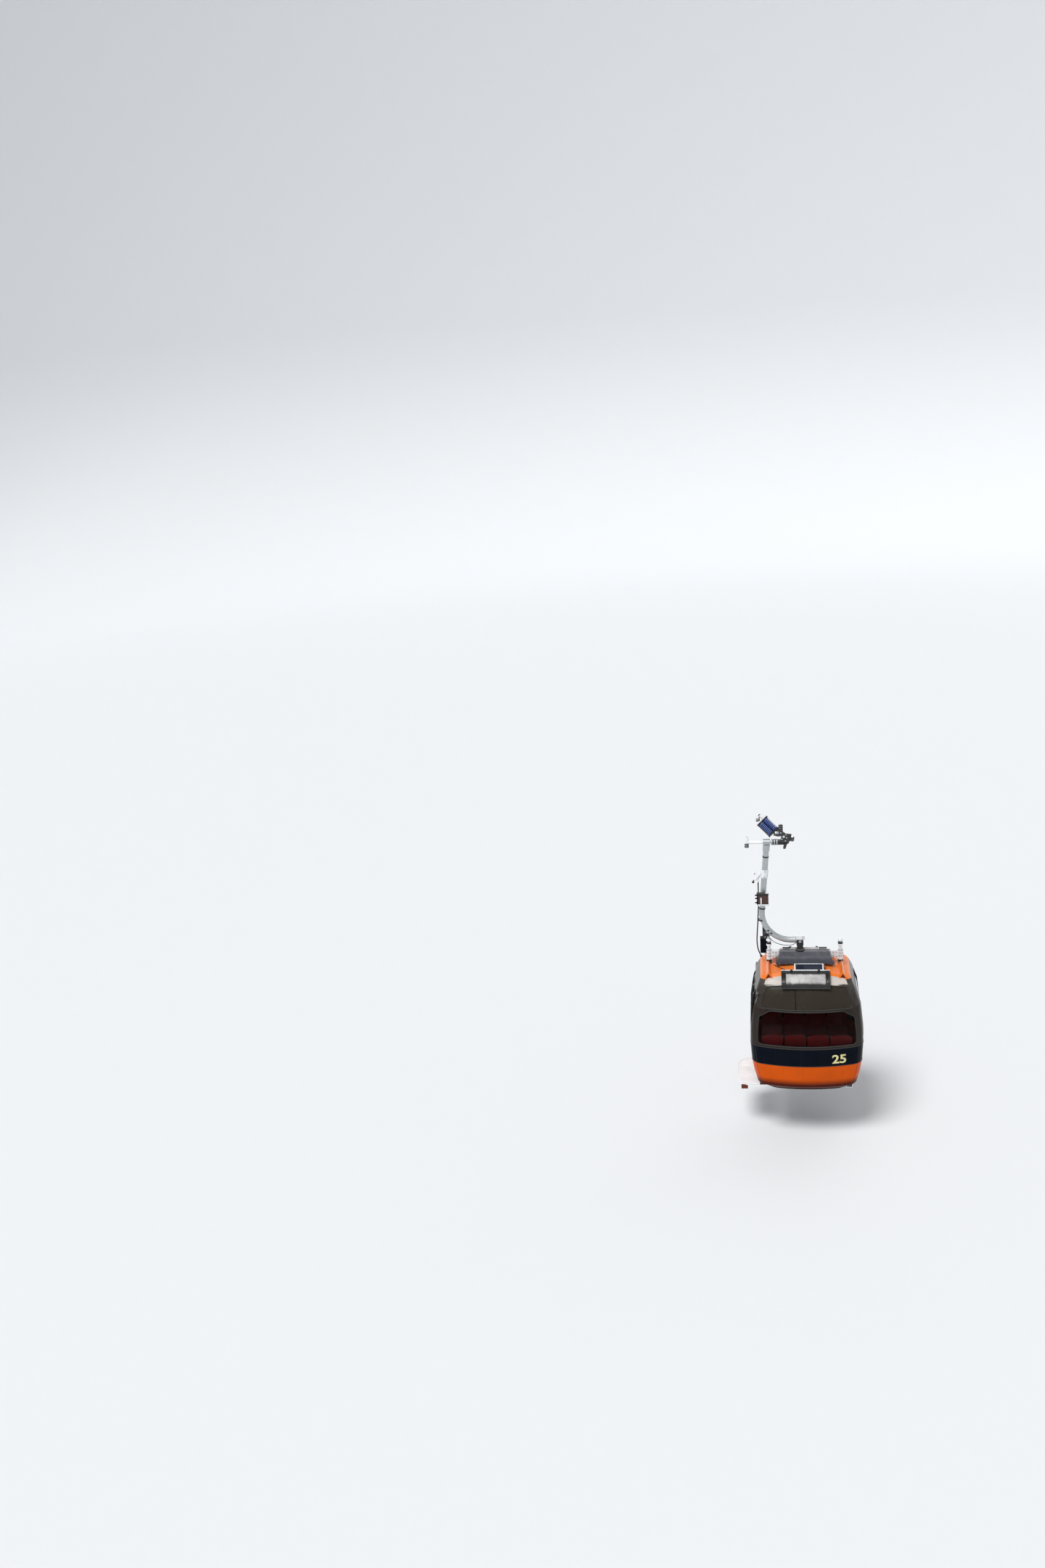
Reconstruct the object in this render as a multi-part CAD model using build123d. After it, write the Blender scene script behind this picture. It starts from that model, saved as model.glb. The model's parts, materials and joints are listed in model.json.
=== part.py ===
from build123d import *
import os
from math import atan2, cos, pi, radians, sin, sqrt, tan

# An eight-seat aerial cable car cabin, hung from a detachable grip on a haul rope.
# Millimetres, +Z up, +X to the right of someone who looks along +Y.
# The origin is on the rope's axis, in the middle of the grip's jaws.
# The rope falls towards +Y, so the grip is pitched while the cabin hangs plumb.

# Rope and grip, measured with the rope level and then pitched
ROPE_SLOPE = 30.0          # degrees that the rope falls below level towards +Y
ROPE_R = 24.0              # radius of the haul rope that the jaws hold
JAW_LENGTH = 220.0         # along the rope
JAW_R = 54.0               # outside of the jaws round the rope
SHAFT_DROP = 80.0          # carrying shaft's axis below the rope's
SHAFT_R = 30.0
SHAFT_CLEAR = 0.05         # radial running clearance on shafts, pins and spindles
HUB_R = 50.0
HUB_X = (-374.0, -120.0)   # grip hub along the shaft
PIN = (-150.0, -6.0)       # X and Z of the jaw pin
PIN_R = 16.0
KNUCKLE_R = 33.0
CHEEK_Y = (46.0, 70.0)     # grip body's two cheeks, each side of the lever
LEVER_Y = 40.0             # lever's half width between the cheeks
PACK_FOOT = (-330.0, 110.0)    # X and Z of the spring pack's inner end
PACK_TILT = 46.0               # degrees that the pack rises away from the rope
PACK_LENGTH = 265.0
PACK_PLATE = 18.0
COIL_R = 42.0              # mean radius of one coil spring
COIL_WIRE_R = 9.5
COIL_TURNS = 7
COIL_OFFSET = 53.0         # from the pack's axis to each spring's
SEAT_CLEAR = 0.3           # each end of a spring to its plate
TIE_OFFSET = 113.0
TIE_R = 7.0
END_ROLLER = (-612.0, 328.0)   # X and Z of the roller that works the lever
END_ROLLER_R = 32.0
UP_ROLLER = (-200.0, 82.0)     # X and Y of the upright roller on the lever
UP_ROLLER_R = 38.0
UP_ROLLER_Z = (108.0, 248.0)
GUIDE_X = -808.0           # guide roller at the shaft's outer end
GUIDE_R = 38.0
GUIDE_H = 58.0

# Hanger
HEAD_X = (-518.0, -396.0)  # hanger head along the shaft
HEAD_R = 58.0
TUBE_R = 52.0
TUBE_TOP = (-458.0, -110.0)    # X and Z of the tube's axis in the head
TUBE_KNEE = (-606.0, -1950.0)  # where the upright and the foot would cross
TUBE_BEND_R = 520.0
PIVOT_X = 110.0            # column under the end of the hanger's foot
HEAD_BLOCK_X, HEAD_BLOCK_Y, HEAD_BLOCK_H = (-115.0, 85.0), 72.0, 72.0   # block on the column, from PIVOT_X
HEAD_BLOCK_EASE = 20.0
LATCH_Z = (-590.0, -735.0)     # sleeve of the latch on the upright
LATCH_PIN = (-668.0, 9.0, 150.0)   # z, radius and reach of the pin beside it
LATCH_LEVER = ((-58.0, -715.0), (-708.0, -828.0), 8.0, 21.0)   # start from the tube, end, radius, knob
CABLE_ANCHOR = (-766.0, 34.0, 9.0)   # z of its top, length of the ferrule, radius
BOX = ((-648.0, -442.0), (-158.0, -78.0), (-1215.0, -1000.0))
BOX_EASE = 14.0
SADDLE_HALF, SADDLE_Y, SADDLE_Z = 62.0, (-78.0, -10.0), (-1190.0, -1025.0)
COUNTER = ((-606.0, -474.0), (72.0, 172.0), (-2240.0, -1945.0))
COUNTER_EASE = 18.0
COUNTER_PLATE = ((-560.0, -470.0), (60.0, 72.0), (-1960.0, -1700.0))
STRAP_FROM_KNEE, STRAP_SPREAD, STRAP_L, STRAP_OUT = (155.0, 150.0), 38.0, 30.0, 16.0

# Cabin shell, measured in the cabin's own frame: x from its middle, z from its keel
CABIN_X = 190.0
CABIN_Z = -4550.0
WALL = 40.0                # ends, far side and roof
DOOR_WALL = 86.0           # door side, with the recess that the leaves run in
END_R = 2600.0             # plan radius of the bowed ends
SECTIONS = [
    # name, z, half width, half length, corner radius
    ("keel", 0.0, 740.0, 800.0, 280.0),
    ("chine", 150.0, 890.0, 1010.0, 262.0),
    ("skirt", 370.0, 944.0, 1052.0, 256.0),
    ("belt_low", 590.0, 982.0, 1080.0, 260.0),
    ("belt_high", 930.0, 1005.0, 1090.0, 270.0),
    ("waist", 1200.0, 1001.0, 1072.0, 270.0),
    ("mid_rail", 1620.0, 960.0, 980.0, 260.0),
    ("shoulder", 1870.0, 882.0, 850.0, 230.0),
    ("cant", 1975.0, 838.0, 768.0, 210.0),
    ("eave", 2060.0, 800.0, 680.0, 190.0),
    ("top", 2220.0, 640.0, 470.0, 150.0),
]
Z = {name: z for name, z, *_ in SECTIONS}
ROOF_TOP = 2200.0
ROOF_R = 3000.0            # the roof's arch, seen from the end
FLOOR_T = 70.0
SPLIT_IN = 90.0            # the end panels stop this far inside the widest line
GLASS_T = 8.0
GLASS_IN = 10.0            # glass lies this far inside the outer face
FRAME = 46.0               # window surround below the panes
END_BAR = 42.0             # window surround beside the end panes
MID_BAR = 34.0             # bar between the two end windows
LOWER_SLOPE = (200.0, 120.0)   # how far the lower end pane's top corners are cut back along X and Z
UPPER_CROWN = 2052.0       # upper end pane's top in the middle
END_PANE_R = (70.0, 50.0)  # corner radii of the lower and the upper end pane
FAR_PANE = [(-640.0, 976.0), (640.0, 976.0), (560.0, 1620.0), (430.0, 1850.0), (-430.0, 1850.0), (-560.0, 1620.0)]
FAR_PANE_R = 70.0
NEAR_PANE = [(402.0, 976.0), (640.0, 976.0), (570.0, 1620.0), (500.0, 1800.0), (402.0, 1800.0)]
NEAR_PANE_R = 45.0

# Roof fittings: outlines in Y and Z, front ones, above the keel
HATCH_X = (-195.0, 325.0)
HATCH_TOP = ((-505.0, 2216.0), (-252.0, 2238.0))
HATCH_RIM = 22.0
HOOD_HALF = 430.0
HOOD = ((-510.0, 2212.0), (-690.0, 2120.0), (-790.0, 1985.0))   # back, crown and lip
HOOD_RIB_IN, HOOD_RIB_STEP, HOOD_RIB_W, HOOD_RIB_H = 70.0, 26.0, 14.0, 8.0

# Doors
LEAF_T = 36.0
LEAF_W = 372.0
LEAF_GAP = 4.0             # from the middle plane to each leaf
LEAF_CLEAR = 7.0           # all round a leaf
DOORWAY_HALF = 342.0
DOORWAY_SILL = (77.0, 1772.0)
DOOR_TRAVEL = 345.0
RECESS_Z = (77.0, 1852.0)  # recess that the leaves and their rails lie in
RAIL_H = (18.0, 40.0)      # bottom and top rail
SLOT_WALL = 13.0           # rail metal outside the slot
SLOT_T = 16.0
RUN_CLEAR = 0.3            # runner in its slot
RUNNER_L = 70.0
LEAF_STILE = 44.0
LEAF_LIGHT = (984.0, 1745.0)   # heights of a leaf's pane
LEAF_LIGHT_R = 45.0
RUNNER_AT = (0.22, 0.78)       # of the leaf's width

# Suspension between the hanger's foot and the roof, heights above the keel
POST_X = 640.0             # from the cabin's middle
BEAM_HALF = 465.0
BEAM_HALF_Y = 45.0
BEAM_Z = (2285.0, 2365.0)
COVER_HALF = (525.0, 440.0)    # half length at its foot and at its top
COVER_HALF_Y = 240.0
COVER_Z = (2215.0, 2228.0, 2400.0)   # lower edge, where its curve starts, crown
COVER_T = 10.0
COVER_RIB_X, COVER_RIB_T = 300.0, 12.0
COLUMN_R = 56.0
COLUMN_TOP = 2625.0
YOKE_X, YOKE_Y, YOKE_H = 60.0, 62.0, 75.0
ROOF_RAIL_X = (-375.0, 380.0)
ROOF_RAIL_Y, ROOF_RAIL_Z, ROOF_RAIL_R = 70.0, 2412.0, 8.0
RAIL_FOOT_X, RAIL_FOOT = 330.0, (45.0, 20.0)   # place, and half sizes along X and Y
POST = [
    # node, low z, high z, radius
    ("feet", 1990.0, 2190.0, 34.0),
    ("rubbers", 2190.0, 2215.0, 46.0),
    ("tubes", 2215.0, 2222.0, 34.0),
    ("sleeve", 2222.0, 2410.0, 46.0),
    ("tubes", 2410.0, 2492.0, 30.0),
    ("caps", 2492.0, 2526.0, 46.0),
    ("rubbers", 2526.0, 2556.0, 42.0),
    ("neck", 2556.0, 2590.0, 24.0),
]
DOME_R = 50.0
GUSSET = [(465.0, 2290.0), (540.0, 2262.0), (610.0, 2226.0), (610.0, 2402.0), (465.0, 2390.0)]
GUSSET_HALF_Y = 32.0
GUSSET_CLEAR = 4.0
RIDGE = [(592.0, 2040.0), (592.0, 2110.0), (655.0, 2218.0), (718.0, 2110.0), (718.0, 2040.0)]
RIDGE_HOLLOW = [(614.0, 2040.0), (614.0, 2108.0), (655.0, 2178.0), (696.0, 2108.0), (696.0, 2040.0)]
RIDGE_HALF_Y = 575.0
RIDGE_DEEP = 30.0
RIDGE_BORE = 54.0          # clearance round a post

# Door cable, from the latch lever to the roof's rear edge, measured with the hanger
CABLE_R = 11.0
CABLE_X = -620.0
CABLE_TOP = -830.0
FERRULE_R = 16.0
CABLE_ROUTE = [            # x, y, z
    (CABLE_X, 0.0, CABLE_TOP),
    (-619.0, 6.0, -1080.0),
    (-624.0, 50.0, -1350.0),
    (-638.0, 125.0, -1620.0),
    (-655.0, 215.0, -1870.0),
    (-667.0, 305.0, -2080.0),
    (-658.0, 395.0, -2255.0),
    (-633.0, 460.0, -2380.0),
    (-600.0, 507.0, -2470.0),
]
GLAND = [
    # from, to and radius along the cable's last direction
    (0.0, 90.0, 18.0),
    (30.0, 90.0, 26.0),
]

# Inside
SEAT_PITCH = 405.0
SEAT_W = 385.0
SEAT_Z = 470.0
SEATS = 4

SEAT_PROFILE = [
    # y and z of a front seat's outline
    (-860.0, 515.0),
    (-905.0, 1130.0),
    (-872.0, 1130.0),
    (-825.0, 515.0),
    (-440.0, 500.0),
    (-430.0, 470.0),
    (-470.0, 455.0),
    (-860.0, 455.0),
]
SEAT_EASE = 6.0
BENCH_HALF, BENCH_Y, BENCH_Z = 800.0, (-840.0, -520.0), (405.0, 455.0)
BENCH_LEGS, BENCH_LEG_W, BENCH_LEG_Y = (-560.0, 0.0, 560.0), 40.0, (-760.0, -600.0)

# Footboard outside the doors, and the guide rail under the far side
BOARD_X = (-1250.0, -850.0)
BOARD_Y = (-575.0, 475.0)
BOARD_R = 270.0            # its two outer corners
BOARD_T = 34.0
BOARD_Z = -10.0
ARM_Y = (-450.0, -50.0, 350.0)
ARM_W, ARM_H = 40.0, 40.0
ARM_X = (-990.0, -600.0)
ARM_RISE_X = -730.0        # inner end of the arm, which reaches up to the floor
APRON = ((-1190.0, -1070.0), (-560.0, -535.0), 76.0)   # plate under the board's front corner: x, y, height
GUIDE_PLATES = [
    # x, z
    ((812.0, 822.0), (-75.0, 74.0)),
    ((690.0, 822.0), (-75.0, -65.0)),
    ((700.0, 716.0), (-65.0, 0.0)),
]
GUIDE_HALF_Y = 560.0

os.makedirs("parts", exist_ok=True)
BIG = 3000.0


def box(x, y, z):
    """A block from three (low, high) pairs."""
    size = [high - low for low, high in (x, y, z)]
    mid = [(high + low) / 2 for low, high in (x, y, z)]
    return Pos(*mid) * Box(*size)


def rod(start, end, radius):
    """A round bar between two points."""
    a, b = Vector(*start), Vector(*end)
    plane = Plane(origin=a, z_dir=b - a)
    return extrude(plane * Circle(radius), (b - a).length)


def ring(start, end, radius, bore):
    """A round sleeve between two points."""
    return rod(start, end, radius) - rod(start, end, bore)


def prism_y(points, y):
    """An XZ outline run from y[0] to y[1]."""
    outline = make_face(Polyline(*[(px, y[0], pz) for px, pz in points], close=True))
    return extrude(outline, y[1] - y[0], dir=(0, 1, 0))


def prism_x(points, x):
    """A YZ outline run from x[0] to x[1]."""
    outline = make_face(Polyline(*[(x[0], py, pz) for py, pz in points], close=True))
    return extrude(outline, x[1] - x[0], dir=(1, 0, 0))


def rounded_y(points, y, radius):
    """The same as prism_y, with its corners along Y rounded."""
    solid = prism_y(points, y)
    return fillet(solid.edges().filter_by(Axis.Y), radius)


def rounded_x(points, x, radius):
    """The same as prism_x, with its corners along X rounded."""
    solid = prism_x(points, x)
    return fillet(solid.edges().filter_by(Axis.X), radius)


# The shell: bowed ends, straight sides and round corners at every height

def section(z, half_w, half_l, corner, inset):
    """One level outline of the cabin, moved in by inset."""
    w, l, r, end_r = half_w - inset, half_l - inset, corner - inset, END_R - inset
    straight = l - end_r + sqrt((end_r - r) ** 2 - (w - r) ** 2)
    turn = atan2(straight - (l - end_r), w - r)
    mid = (w - r + r * cos(turn / 2), straight + r * sin(turn / 2))
    tip = (w - r + r * cos(turn), straight + r * sin(turn))
    edges = []
    for sx, sy in ((1, 1), (-1, 1), (-1, -1), (1, -1)):
        arc = [(w * sx, straight * sy, z), (mid[0] * sx, mid[1] * sy, z), (tip[0] * sx, tip[1] * sy, z)]
        if sx * sy < 0:
            arc.reverse()
        edges.append(ThreePointArc(*arc))
    front = ThreePointArc((tip[0], tip[1], z), (0, l, z), (-tip[0], tip[1], z))
    left = Line((-w, straight, z), (-w, -straight, z))
    back = ThreePointArc((-tip[0], -tip[1], z), (0, -l, z), (tip[0], -tip[1], z))
    right = Line((w, -straight, z), (w, straight, z))
    loop = [edges[0], front, edges[1], left, edges[2], back, edges[3], right]
    return make_face(Wire(loop))


def stack(inset):
    """The cabin's whole outside form, moved in by inset, as one solid."""
    return loft([section(*row[1:], inset) for row in SECTIONS], ruled=True)


def side_line(inset, low=0.0, high=ROOF_TOP):
    """Half width against height, between two heights, as (x, z) points."""
    rows = [(row[2], row[1]) for row in SECTIONS]

    def width(z):
        for (w0, z0), (w1, z1) in zip(rows, rows[1:]):
            if z0 <= z <= z1:
                return w0 + (w1 - w0) * (z - z0) / (z1 - z0)
    high = min(high, rows[-1][1])
    levels = [low] + [z for _, z in rows if low < z < high] + [high]
    return [(width(z) - inset, z) for z in levels]


def side_slab(outer, inner, y, low, high):
    """A door-side slab that follows the cabin's straight side, between two insets."""
    out = [(-x, z) for x, z in side_line(outer, low, high)]
    back = [(-x, z) for x, z in reversed(side_line(inner, low, high))]
    return prism_y(out + back, y)


def arch(drop):
    """Everything under the roof's arch, lowered by drop."""
    cylinder = rod((0, -BIG, ROOF_TOP - ROOF_R), (0, BIG, ROOF_TOP - ROOF_R), ROOF_R - drop)
    return cylinder + box((-BIG, BIG), (-BIG, BIG), (-BIG, ROOF_TOP - ROOF_R))


OUTER = stack(0)
INNER = stack(WALL)
DOOR_INNER = stack(DOOR_WALL)
UNDER_ROOF = arch(WALL)
GLASS_SKIN = (stack(GLASS_IN) - stack(GLASS_IN + GLASS_T)) & UNDER_ROOF

# The end panels lie between two upright surfaces that follow the sides
END_LINE = side_line(SPLIT_IN)
ENDS = prism_y([(-x, z) for x, z in END_LINE] + [(x, z) for x, z in reversed(END_LINE)], (-BIG, BIG))
WALL_RING = (OUTER - INNER) & UNDER_ROOF
DOOR_RING = (OUTER - DOOR_INNER) & UNDER_ROOF
FAR_HALF = box((0, BIG), (-BIG, BIG), (-BIG, BIG))
DOOR_HALF = box((-BIG, 0), (-BIG, BIG), (-BIG, BIG))
LEAF_REACH = LEAF_GAP + LEAF_W + DOOR_TRAVEL + 10.0
RECESS_DEPTH = LEAF_T + 2 * LEAF_CLEAR
RECESS = side_slab(-200.0, RECESS_DEPTH, (-LEAF_REACH, LEAF_REACH), *RECESS_Z)
DOORWAY = box((-BIG, -BIG / 6), (-DOORWAY_HALF, DOORWAY_HALF), DOORWAY_SILL)

END_RING = WALL_RING & ENDS
FAR_RING = (WALL_RING - ENDS) & FAR_HALF
NEAR_RING = ((DOOR_RING - ENDS) & DOOR_HALF) - RECESS - DOORWAY


def band(solid, low, high):
    """The part of a solid between two heights above the keel."""
    return solid & box((-BIG, BIG), (-BIG, BIG), (low, high))


def inset_line(extra, low, high):
    """The end window's side line, inside the end panel's own edge."""
    return side_line(SPLIT_IN + extra, low, high)


def across(right, crown=()):
    """A closed outline from its right half, given upwards, and the points at its top."""
    return [(-x, z) for x, z in right] + list(crown) + [(x, z) for x, z in reversed(right)]


WINDOW_LOW = Z["belt_high"] + FRAME
LOWER_TOP = Z["mid_rail"] - MID_BAR / 2
LOWER = inset_line(END_BAR, WINDOW_LOW, LOWER_TOP - LOWER_SLOPE[1])
LOWER.append((LOWER[-1][0] - LOWER_SLOPE[0], LOWER_TOP))
UPPER = inset_line(END_BAR, Z["mid_rail"] + MID_BAR / 2, Z["cant"] - 5.0)
LOWER_CUT = rounded_y(across(LOWER), (-BIG, BIG), END_PANE_R[0])
UPPER_CUT = rounded_y(across(UPPER, [(0, UPPER_CROWN)]), (-BIG, BIG), END_PANE_R[1])
FAR_CUT = rounded_x(FAR_PANE, (BIG / 10, BIG), FAR_PANE_R)
NEAR_CUTS = [rounded_x([(y * side, z) for y, z in NEAR_PANE], (-BIG, -BIG / 10), NEAR_PANE_R) for side in (-1, 1)]
ROOF_SKIN = OUTER & arch(0)


def mirrored_x(*solids):
    """Solids and their mirror images about the middle plane between the sides."""
    return list(solids) + [mirror(s, about=Plane.YZ) for s in solids]


def mirrored_y(*solids):
    """Solids and their mirror images about the middle plane between the ends."""
    return list(solids) + [mirror(s, about=Plane.XZ) for s in solids]


def group(shapes):
    """Several shapes as one node of solids that stay apart."""
    return Compound(children=[s for shape in shapes for s in shape.solids()])


cabin = {}
cabin["floor_pan"] = band(OUTER, 0, FLOOR_T)
cabin["end_skirts"] = band(END_RING, FLOOR_T, Z["belt_low"])
cabin["end_belts"] = band(END_RING, Z["belt_low"], Z["belt_high"])
cabin["end_window_frames"] = band(END_RING, Z["belt_high"], ROOF_TOP) - LOWER_CUT - UPPER_CUT
cabin["lower_panes"] = GLASS_SKIN & ENDS & LOWER_CUT
cabin["upper_panes"] = GLASS_SKIN & ENDS & UPPER_CUT
cabin["side_skirt"] = band(FAR_RING, FLOOR_T, Z["belt_low"])
cabin["side_belt"] = band(FAR_RING, Z["belt_low"], Z["belt_high"])
cabin["side_window_frame"] = band(FAR_RING, Z["belt_high"], ROOF_TOP) - FAR_CUT
cabin["side_pane"] = GLASS_SKIN & FAR_CUT & FAR_HALF
cabin["door_side_skirts"] = band(NEAR_RING, FLOOR_T, Z["belt_low"])
cabin["door_side_belts"] = band(NEAR_RING, Z["belt_low"], Z["belt_high"])
near_frame = band(NEAR_RING, Z["belt_high"], ROOF_TOP)
near_glass = side_slab(RECESS_DEPTH + GLASS_T, RECESS_DEPTH + 2 * GLASS_T, (-BIG, BIG), Z["belt_high"], Z["shoulder"])
near_panes = []
for cut in NEAR_CUTS:
    near_frame = near_frame - cut
    near_panes.append(near_glass & cut)
cabin["door_side_frame"] = near_frame
cabin["door_side_panes"] = group(near_panes)
cabin["roof_panel"] = ROOF_SKIN - UNDER_ROOF

# Door leaves, each with its runners in the two rails

LEAF_Z = (RECESS_Z[0] + RAIL_H[0] + LEAF_CLEAR, RECESS_Z[1] - RAIL_H[1] - LEAF_CLEAR)
SLOT = (LEAF_CLEAR + SLOT_WALL, LEAF_CLEAR + SLOT_WALL + SLOT_T)
RUNNER = (SLOT[0] + RUN_CLEAR, SLOT[1] - RUN_CLEAR)
SLOT_TOP = RECESS_Z[1] - SLOT_WALL
SLOT_FLOOR = RECESS_Z[0] + 5.0


def leaf_slab(outer, inner, y, low, high):
    """A door-side slab between two distances along Y, whichever way round they come."""
    return side_slab(outer, inner, (min(y), max(y)), low, high)


def door_leaf(way):
    """One leaf's lower panel, window frame and glass; way is -1 in front and 1 behind."""
    y = (LEAF_GAP * way, (LEAF_GAP + LEAF_W) * way)
    face = (LEAF_CLEAR, LEAF_CLEAR + LEAF_T)
    panel = leaf_slab(*face, y, LEAF_Z[0], Z["belt_low"])
    frame = leaf_slab(*face, y, Z["belt_low"], LEAF_Z[1])
    near, far = y[0] + LEAF_STILE * way, y[1] - LEAF_STILE * way
    low, high = LEAF_LIGHT
    opening = rounded_x([(near, low), (far, low), (far, high), (near, high)], (-BIG, -BIG / 10), LEAF_LIGHT_R)
    glass = leaf_slab(LEAF_CLEAR + GLASS_IN, LEAF_CLEAR + GLASS_IN + GLASS_T, y, *LEAF_Z) & opening
    frame = frame - opening
    for place in RUNNER_AT:
        mid = y[0] + (y[1] - y[0]) * place
        span = (mid - RUNNER_L / 2, mid + RUNNER_L / 2)
        panel += side_slab(*RUNNER, span, SLOT_FLOOR + RUN_CLEAR, LEAF_Z[0])
        frame += side_slab(*RUNNER, span, LEAF_Z[1], SLOT_TOP - RUN_CLEAR)
    return panel, frame, glass


doors = {}
for name, way in (("front", -1), ("back", 1)):
    doors[name] = dict(zip(("panel", "frame", "glass"), door_leaf(way)))

RAIL_Y = (-LEAF_REACH, LEAF_REACH)
top_rail = side_slab(LEAF_CLEAR, RECESS_DEPTH, RAIL_Y, RECESS_Z[1] - RAIL_H[1], RECESS_Z[1])
top_rail -= side_slab(*SLOT, RAIL_Y, RECESS_Z[1] - RAIL_H[1], SLOT_TOP)
low_rail = side_slab(LEAF_CLEAR, RECESS_DEPTH, RAIL_Y, RECESS_Z[0], RECESS_Z[0] + RAIL_H[0])
low_rail -= side_slab(*SLOT, RAIL_Y, SLOT_FLOOR, RECESS_Z[0] + RAIL_H[0])
cabin["door_rails"] = group([top_rail, low_rail])

# Roof: skylight in its frame, and a ribbed vent hood over each end's top edge

(hatch_front, hatch_low), (hatch_back, hatch_high) = HATCH_TOP


def hatch_slab(x, y_in, drop):
    """A slab under the hatch's sloping top, between two drops from it."""
    y0, y1 = hatch_front + y_in, hatch_back - y_in
    outline = [(y0, hatch_low - drop[0]), (y1, hatch_high - drop[0]), (y1, hatch_high - drop[1]), (y0, hatch_low - drop[1])]
    return prism_x(outline, x)


hatch_inner = (HATCH_X[0] + HATCH_RIM, HATCH_X[1] - HATCH_RIM)
hatch_frame = hatch_slab(HATCH_X, 0.0, (0.0, 100.0)) - hatch_slab(hatch_inner, HATCH_RIM, (-10.0, 110.0))
cabin["hatch_frame"] = hatch_frame - ROOF_SKIN
cabin["hatch_glass"] = hatch_slab(hatch_inner, HATCH_RIM, (4.0, 12.0))


def hood_slice(x, grow):
    """One stretch of the front vent hood, its curve pushed out by grow."""
    a, b, c = [(x[0], py - grow * 0.6, pz + grow * 0.8) for py, pz in HOOD]
    curve = ThreePointArc(a, b, c)
    back = Polyline(c, (x[0], HOOD[0][0], c[2]), a)
    return extrude(make_face(Wire([curve, *back.edges()])), x[1] - x[0], dir=(1, 0, 0))


hood = hood_slice((-HOOD_HALF, HOOD_HALF), 0.0)
for step in range(3):
    start = HOOD_HALF - HOOD_RIB_IN + step * HOOD_RIB_STEP
    hood += hood_slice((start, start + HOOD_RIB_W), HOOD_RIB_H) + hood_slice((-start - HOOD_RIB_W, -start), HOOD_RIB_H)
hood -= ROOF_SKIN
cabin["vent_hoods"] = group(mirrored_y(hood))

# Suspension: a cross beam under a cover, and a sprung post at each side

beam = box((-BEAM_HALF, BEAM_HALF), (-BEAM_HALF_Y, BEAM_HALF_Y), BEAM_Z)
cabin["cross_beam"] = beam


def cover_form(inset):
    """The beam cover's barrel form with its sloping ends, pulled in by inset."""
    y, start, crown = COVER_HALF_Y - inset, COVER_Z[1], COVER_Z[2] - inset
    foot, top = COVER_HALF[0] - inset, COVER_HALF[1] - inset
    curve = ThreePointArc((-foot, -y, start), (-foot, 0, crown), (-foot, y, start))
    rest = Polyline((-foot, y, start), (-foot, y, COVER_Z[0]), (-foot, -y, COVER_Z[0]), (-foot, -y, start))
    barrel = extrude(make_face(Wire([curve, *rest.edges()])), 2 * foot, dir=(1, 0, 0))
    return barrel & prism_y([(-foot, COVER_Z[0]), (foot, COVER_Z[0]), (top, COVER_Z[2]), (-top, COVER_Z[2])], (-y, y))


column_x = PIVOT_X - CABIN_X
full_cover = cover_form(0)
shell = full_cover - cover_form(COVER_T) - beam
for side in (-1, 1):
    rib_x = COVER_RIB_X * side
    shell += box((rib_x - COVER_RIB_T / 2, rib_x + COVER_RIB_T / 2), (-BEAM_HALF_Y, BEAM_HALF_Y),
                 (BEAM_Z[1], COVER_Z[2])) & full_cover
    ends = sorted((side * (GUSSET[0][0] - GUSSET_CLEAR), side * COVER_HALF[0]))
    shell -= box(ends, (-GUSSET_HALF_Y - GUSSET_CLEAR, GUSSET_HALF_Y + GUSSET_CLEAR),
                 (GUSSET[1][1] - GUSSET_CLEAR, GUSSET[3][1] + GUSSET_CLEAR))
shell -= rod((column_x, 0, COVER_Z[0]), (column_x, 0, COLUMN_TOP), COLUMN_R + 6)
cabin["beam_cover"] = shell
column = rod((column_x, 0, BEAM_Z[1]), (column_x, 0, COLUMN_TOP), COLUMN_R)
column += box((column_x - YOKE_X, column_x + YOKE_X), (-YOKE_Y, YOKE_Y), (COLUMN_TOP - YOKE_H, COLUMN_TOP))
cabin["pivot_column"] = column

rail = rod((ROOF_RAIL_X[0], ROOF_RAIL_Y, ROOF_RAIL_Z), (ROOF_RAIL_X[1], ROOF_RAIL_Y, ROOF_RAIL_Z), ROOF_RAIL_R)
for px in (-RAIL_FOOT_X, RAIL_FOOT_X):
    rail += box((px - RAIL_FOOT[0], px + RAIL_FOOT[0]), (ROOF_RAIL_Y - RAIL_FOOT[1], ROOF_RAIL_Y + RAIL_FOOT[1]),
                (COVER_Z[1], ROOF_RAIL_Z - 4.0)) - full_cover
cabin["roof_rail"] = rail


def post_run(name):
    """The round stretches of the right post that belong to one node."""
    return [rod((POST_X, 0, low), (POST_X, 0, high), r) for kind, low, high, r in POST if kind == name]


neck_top = POST[-1][2]
dome = Pos(POST_X, 0, neck_top) * Sphere(DOME_R)
dome = dome & box((-BIG, BIG), (-BIG, BIG), (neck_top, BIG))
cabin["post_caps"] = group(mirrored_x(*post_run("caps"), post_run("neck")[0] + dome))
cabin["post_rubbers"] = group(mirrored_x(*post_run("rubbers")))
cabin["post_tubes"] = group(mirrored_x(*post_run("tubes")))
gusset = prism_y(GUSSET, (-GUSSET_HALF_Y, GUSSET_HALF_Y)) + post_run("sleeve")[0]
cabin["beam_brackets"] = group(mirrored_x(gusset))
foot = prism_y(RIDGE, (-RIDGE_HALF_Y, RIDGE_HALF_Y))
for end in (-1, 1):
    foot -= prism_y(RIDGE_HOLLOW, sorted((RIDGE_HALF_Y * end, (RIDGE_HALF_Y - RIDGE_DEEP) * end)))
foot -= rod((POST_X, 0, POST[1][1]), (POST_X, 0, RIDGE[2][1] + RIDGE_DEEP), RIDGE_BORE)
cabin["post_feet"] = group(mirrored_x((foot + post_run("feet")[0]) - ROOF_SKIN))

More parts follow.
